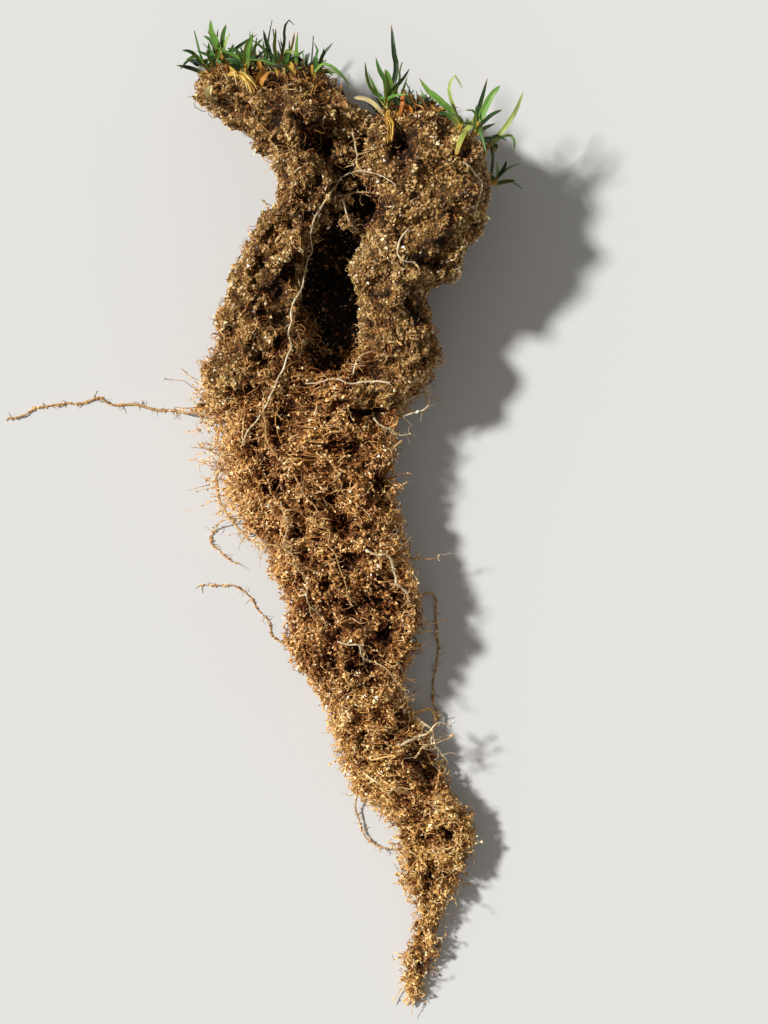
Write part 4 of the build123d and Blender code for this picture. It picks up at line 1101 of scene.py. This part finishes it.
# Runners: each is a bundle of nine strands, one in the middle, that fans out downwards
STEM_COLOURS = ["#c9a850", "#b98a34", "#a9762c", "#d6b862"]
STEM_SHARES = [0.3, 0.3, 0.2, 0.2]
STRANDS = 9
rng = np.random.default_rng(130)
parts = []
for lump, places in (
    (left_column, [(0.98, 0.24), (0.97, 0.34), (0.94, 0.40), (0.91, 0.43)]),
    (right_column, [(0.99, 0.10), (0.96, 0.17), (0.92, 0.22), (0.86, 0.24)]),
):
    line = smooth_line([surface_point(lump, *place) for place in places])
    line = laid_on(line, [left_hull, right_hull], 0.25)
    fan = np.linspace(0.5, 1.3, len(line))[:, None]
    for n in range(STRANDS):
        across, rise = np.cos(2.4 * n), np.sin(2.4 * n)
        aside = np.array([0.42 * across, 0.2 * across, 0.35 * rise]) * min(n, 1)
        strand = wiggled(line + fan * aside, 0.22, 140 + n)
        parts.append(root_tubes(alone(strand), 0.36, rng, STEM_COLOURS, STEM_SHARES, 5))
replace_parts(root_piece("yellow_runners", parts), "yellow_runners")

# Sheaths: flat stems that run down over the soil from the feet of the tufts, green to ochre. Each
# has its route from the tuft down, the height at the tuft, its width, and its colour at both ends.
sheath_routes = [
    ([(18.8, 45.0), (17.9, 43.7), (17.0, 42.4), (16.3, 40.9), (15.8, 39.4)],
     18.6, 1.15, "#ac8c3a", "#97a24a"),
    ([(-16.2, 52.8), (-14.9, 51.3), (-13.5, 50.2), (-12.5, 48.6)], 15.5, 1.1, "#b58f34", "#c2a23c"),
    ([(8.6, 49.0), (8.5, 47.8), (8.4, 46.4), (8.0, 44.9)], 16.8, 1.2, "#7c4a1c", "#a8672a"),
    ([(1.4, 47.9), (2.8, 47.8), (4.2, 47.0), (5.4, 45.6)], 17.0, 0.6, "#8f7a44", "#c9b888"),
    ([(-8.6, 53.6), (-7.4, 52.2), (-6.9, 50.9)], 15.5, 0.9, "#8a6a30", "#b8953e"),
]
parts = []
for places, tuft_height, width, foot_colour, top_colour in sheath_routes:
    line = laid_on(smooth_line([(x, y, 0) for x, y in places]), [left_hull, right_hull], 0.3)
    line = even_steps(above(line, tuft_height)[::-1])[None]
    parts.append(blades(line, np.array([width]), linear([top_colour]), rng, foot_colour, 0.0, 0.7, 0.8))
blade_piece("tuft_sheaths", parts, dry)

# Husks: broad curled sheaths, each with its lump and places (share, across, up, mm over that)
husks = [
    (left_column, [(0.93, 0.44, 0.92, 0), (0.955, 0.47, 1, 0.9), (0.985, 0.53, 1, 1.3)]),
    (right_column, [(0.95, 0.42, 0.92, 0), (0.985, 0.40, 1, 1.0), (1.0, 0.34, 1, 2.4)]),
    (left_column, [(0.90, 0.12, 0.92, 0), (0.91, 0.14, 1, 0.7), (0.925, 0.16, 1, 0.9)]),
]
husk_lines = np.stack([
    even_steps([surface_point(lump, share, across, up) + (0, 0, over) for share, across, up, over in places])
    for lump, places in husks
])
husk_colours = linear(["#bd8438", "#c67e2c", "#dccb94"])
parts = [blades(husk_lines, np.array([1.3, 1.2, 1.2]), husk_colours, rng, "#a8641e", 0.0, 0.9, 1.0)]
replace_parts(blade_piece("dead_sheaths", parts, dry), "dead_sheaths")

# Thatch: straw that creeps between the tufts, and scraps of dead leaf that stand up in it
STRAW_COLOURS = ["#c69a48", "#aa792f", "#8a5c26", "#d8c690", "#66431c"]
STRAW_SHARES = [0.3, 0.26, 0.2, 0.14, 0.10]
parts = []
for hull, count, lift in ((left_hull, 260, 1.3), (right_hull, 190, 1.2)):
    straw = creeping_roots(hull, count, 3.0, lift, rng, steps=6, part=(0.88, 1.0))
    parts.append(root_tubes(straw, 0.26, rng, STRAW_COLOURS, STRAW_SHARES))
root_piece("thatch_straw", parts)
blade_piece("thatch_scraps", [
    scattered_blades(hull, count, (0.9, 1.0), (0.0, 0.6, 0.5), 0.8, 1.8, (0.4, 0.9), linear(STRAW_COLOURS),
                     STRAW_SHARES, rng, base="#9a6a2a", tip_brown=0, fold=0.8, blunt=0.6)
    for hull, count in ((left_hull, 70), (right_hull, 60))
], dry)


# Camera, lights and floor. The plug is seen from straight above, on a pale floor, lit by a low
# soft sun from the left and by even light from the studio round it.
VIEW_CENTRE = (5.57, -10.3)      # mm, the middle of the picture on the floor
VIEW_HEIGHT = 146.3              # mm from the top of the picture to its bottom, 10 mm over the floor
CAMERA_HEIGHT = 430.0            # mm over the floor
camera_data = bpy.data.cameras.new("camera")
camera_data.lens = camera_data.sensor_width * (CAMERA_HEIGHT - 10.0) / VIEW_HEIGHT
camera = placed("camera", camera_data)
camera.location = (VIEW_CENTRE[0] * 0.001, VIEW_CENTRE[1] * 0.001, CAMERA_HEIGHT * 0.001)
bpy.context.scene.camera = camera

sun_data = bpy.data.lights.new("key", "SUN")
sun_data.energy = 4.2
sun_data.color = (1.0, 0.97, 0.92)
sun_data.angle = 0.10
sun = placed("key", sun_data)
sun.rotation_euler = (np.radians(-14), np.radians(-42), 0)

world = bpy.data.worlds.new("studio")
world.use_nodes = True
world.node_tree.nodes["Background"].inputs["Color"].default_value = (1.0, 0.95, 0.88, 1.0)
world.node_tree.nodes["Background"].inputs["Strength"].default_value = 0.28
bpy.context.scene.world = world

FLOOR_HALF = 3.0                 # m from the middle of the floor to its edge
paper, tree, shader = new_material("pale_floor", 0.9, 0.1)
shader.inputs["Base Color"].default_value = (*linear("#d0d2d4"), 1.0)
floor_mesh = bpy.data.meshes.new("floor")
corners = [(x * FLOOR_HALF, y * FLOOR_HALF, 0) for x, y in ((-1, -1), (1, -1), (1, 1), (-1, 1))]
floor_mesh.from_pydata(corners, [], [(0, 1, 2, 3)])
floor_mesh.materials.append(paper)
floor = placed("floor", floor_mesh)

bpy.context.scene.view_settings.view_transform = "Standard"
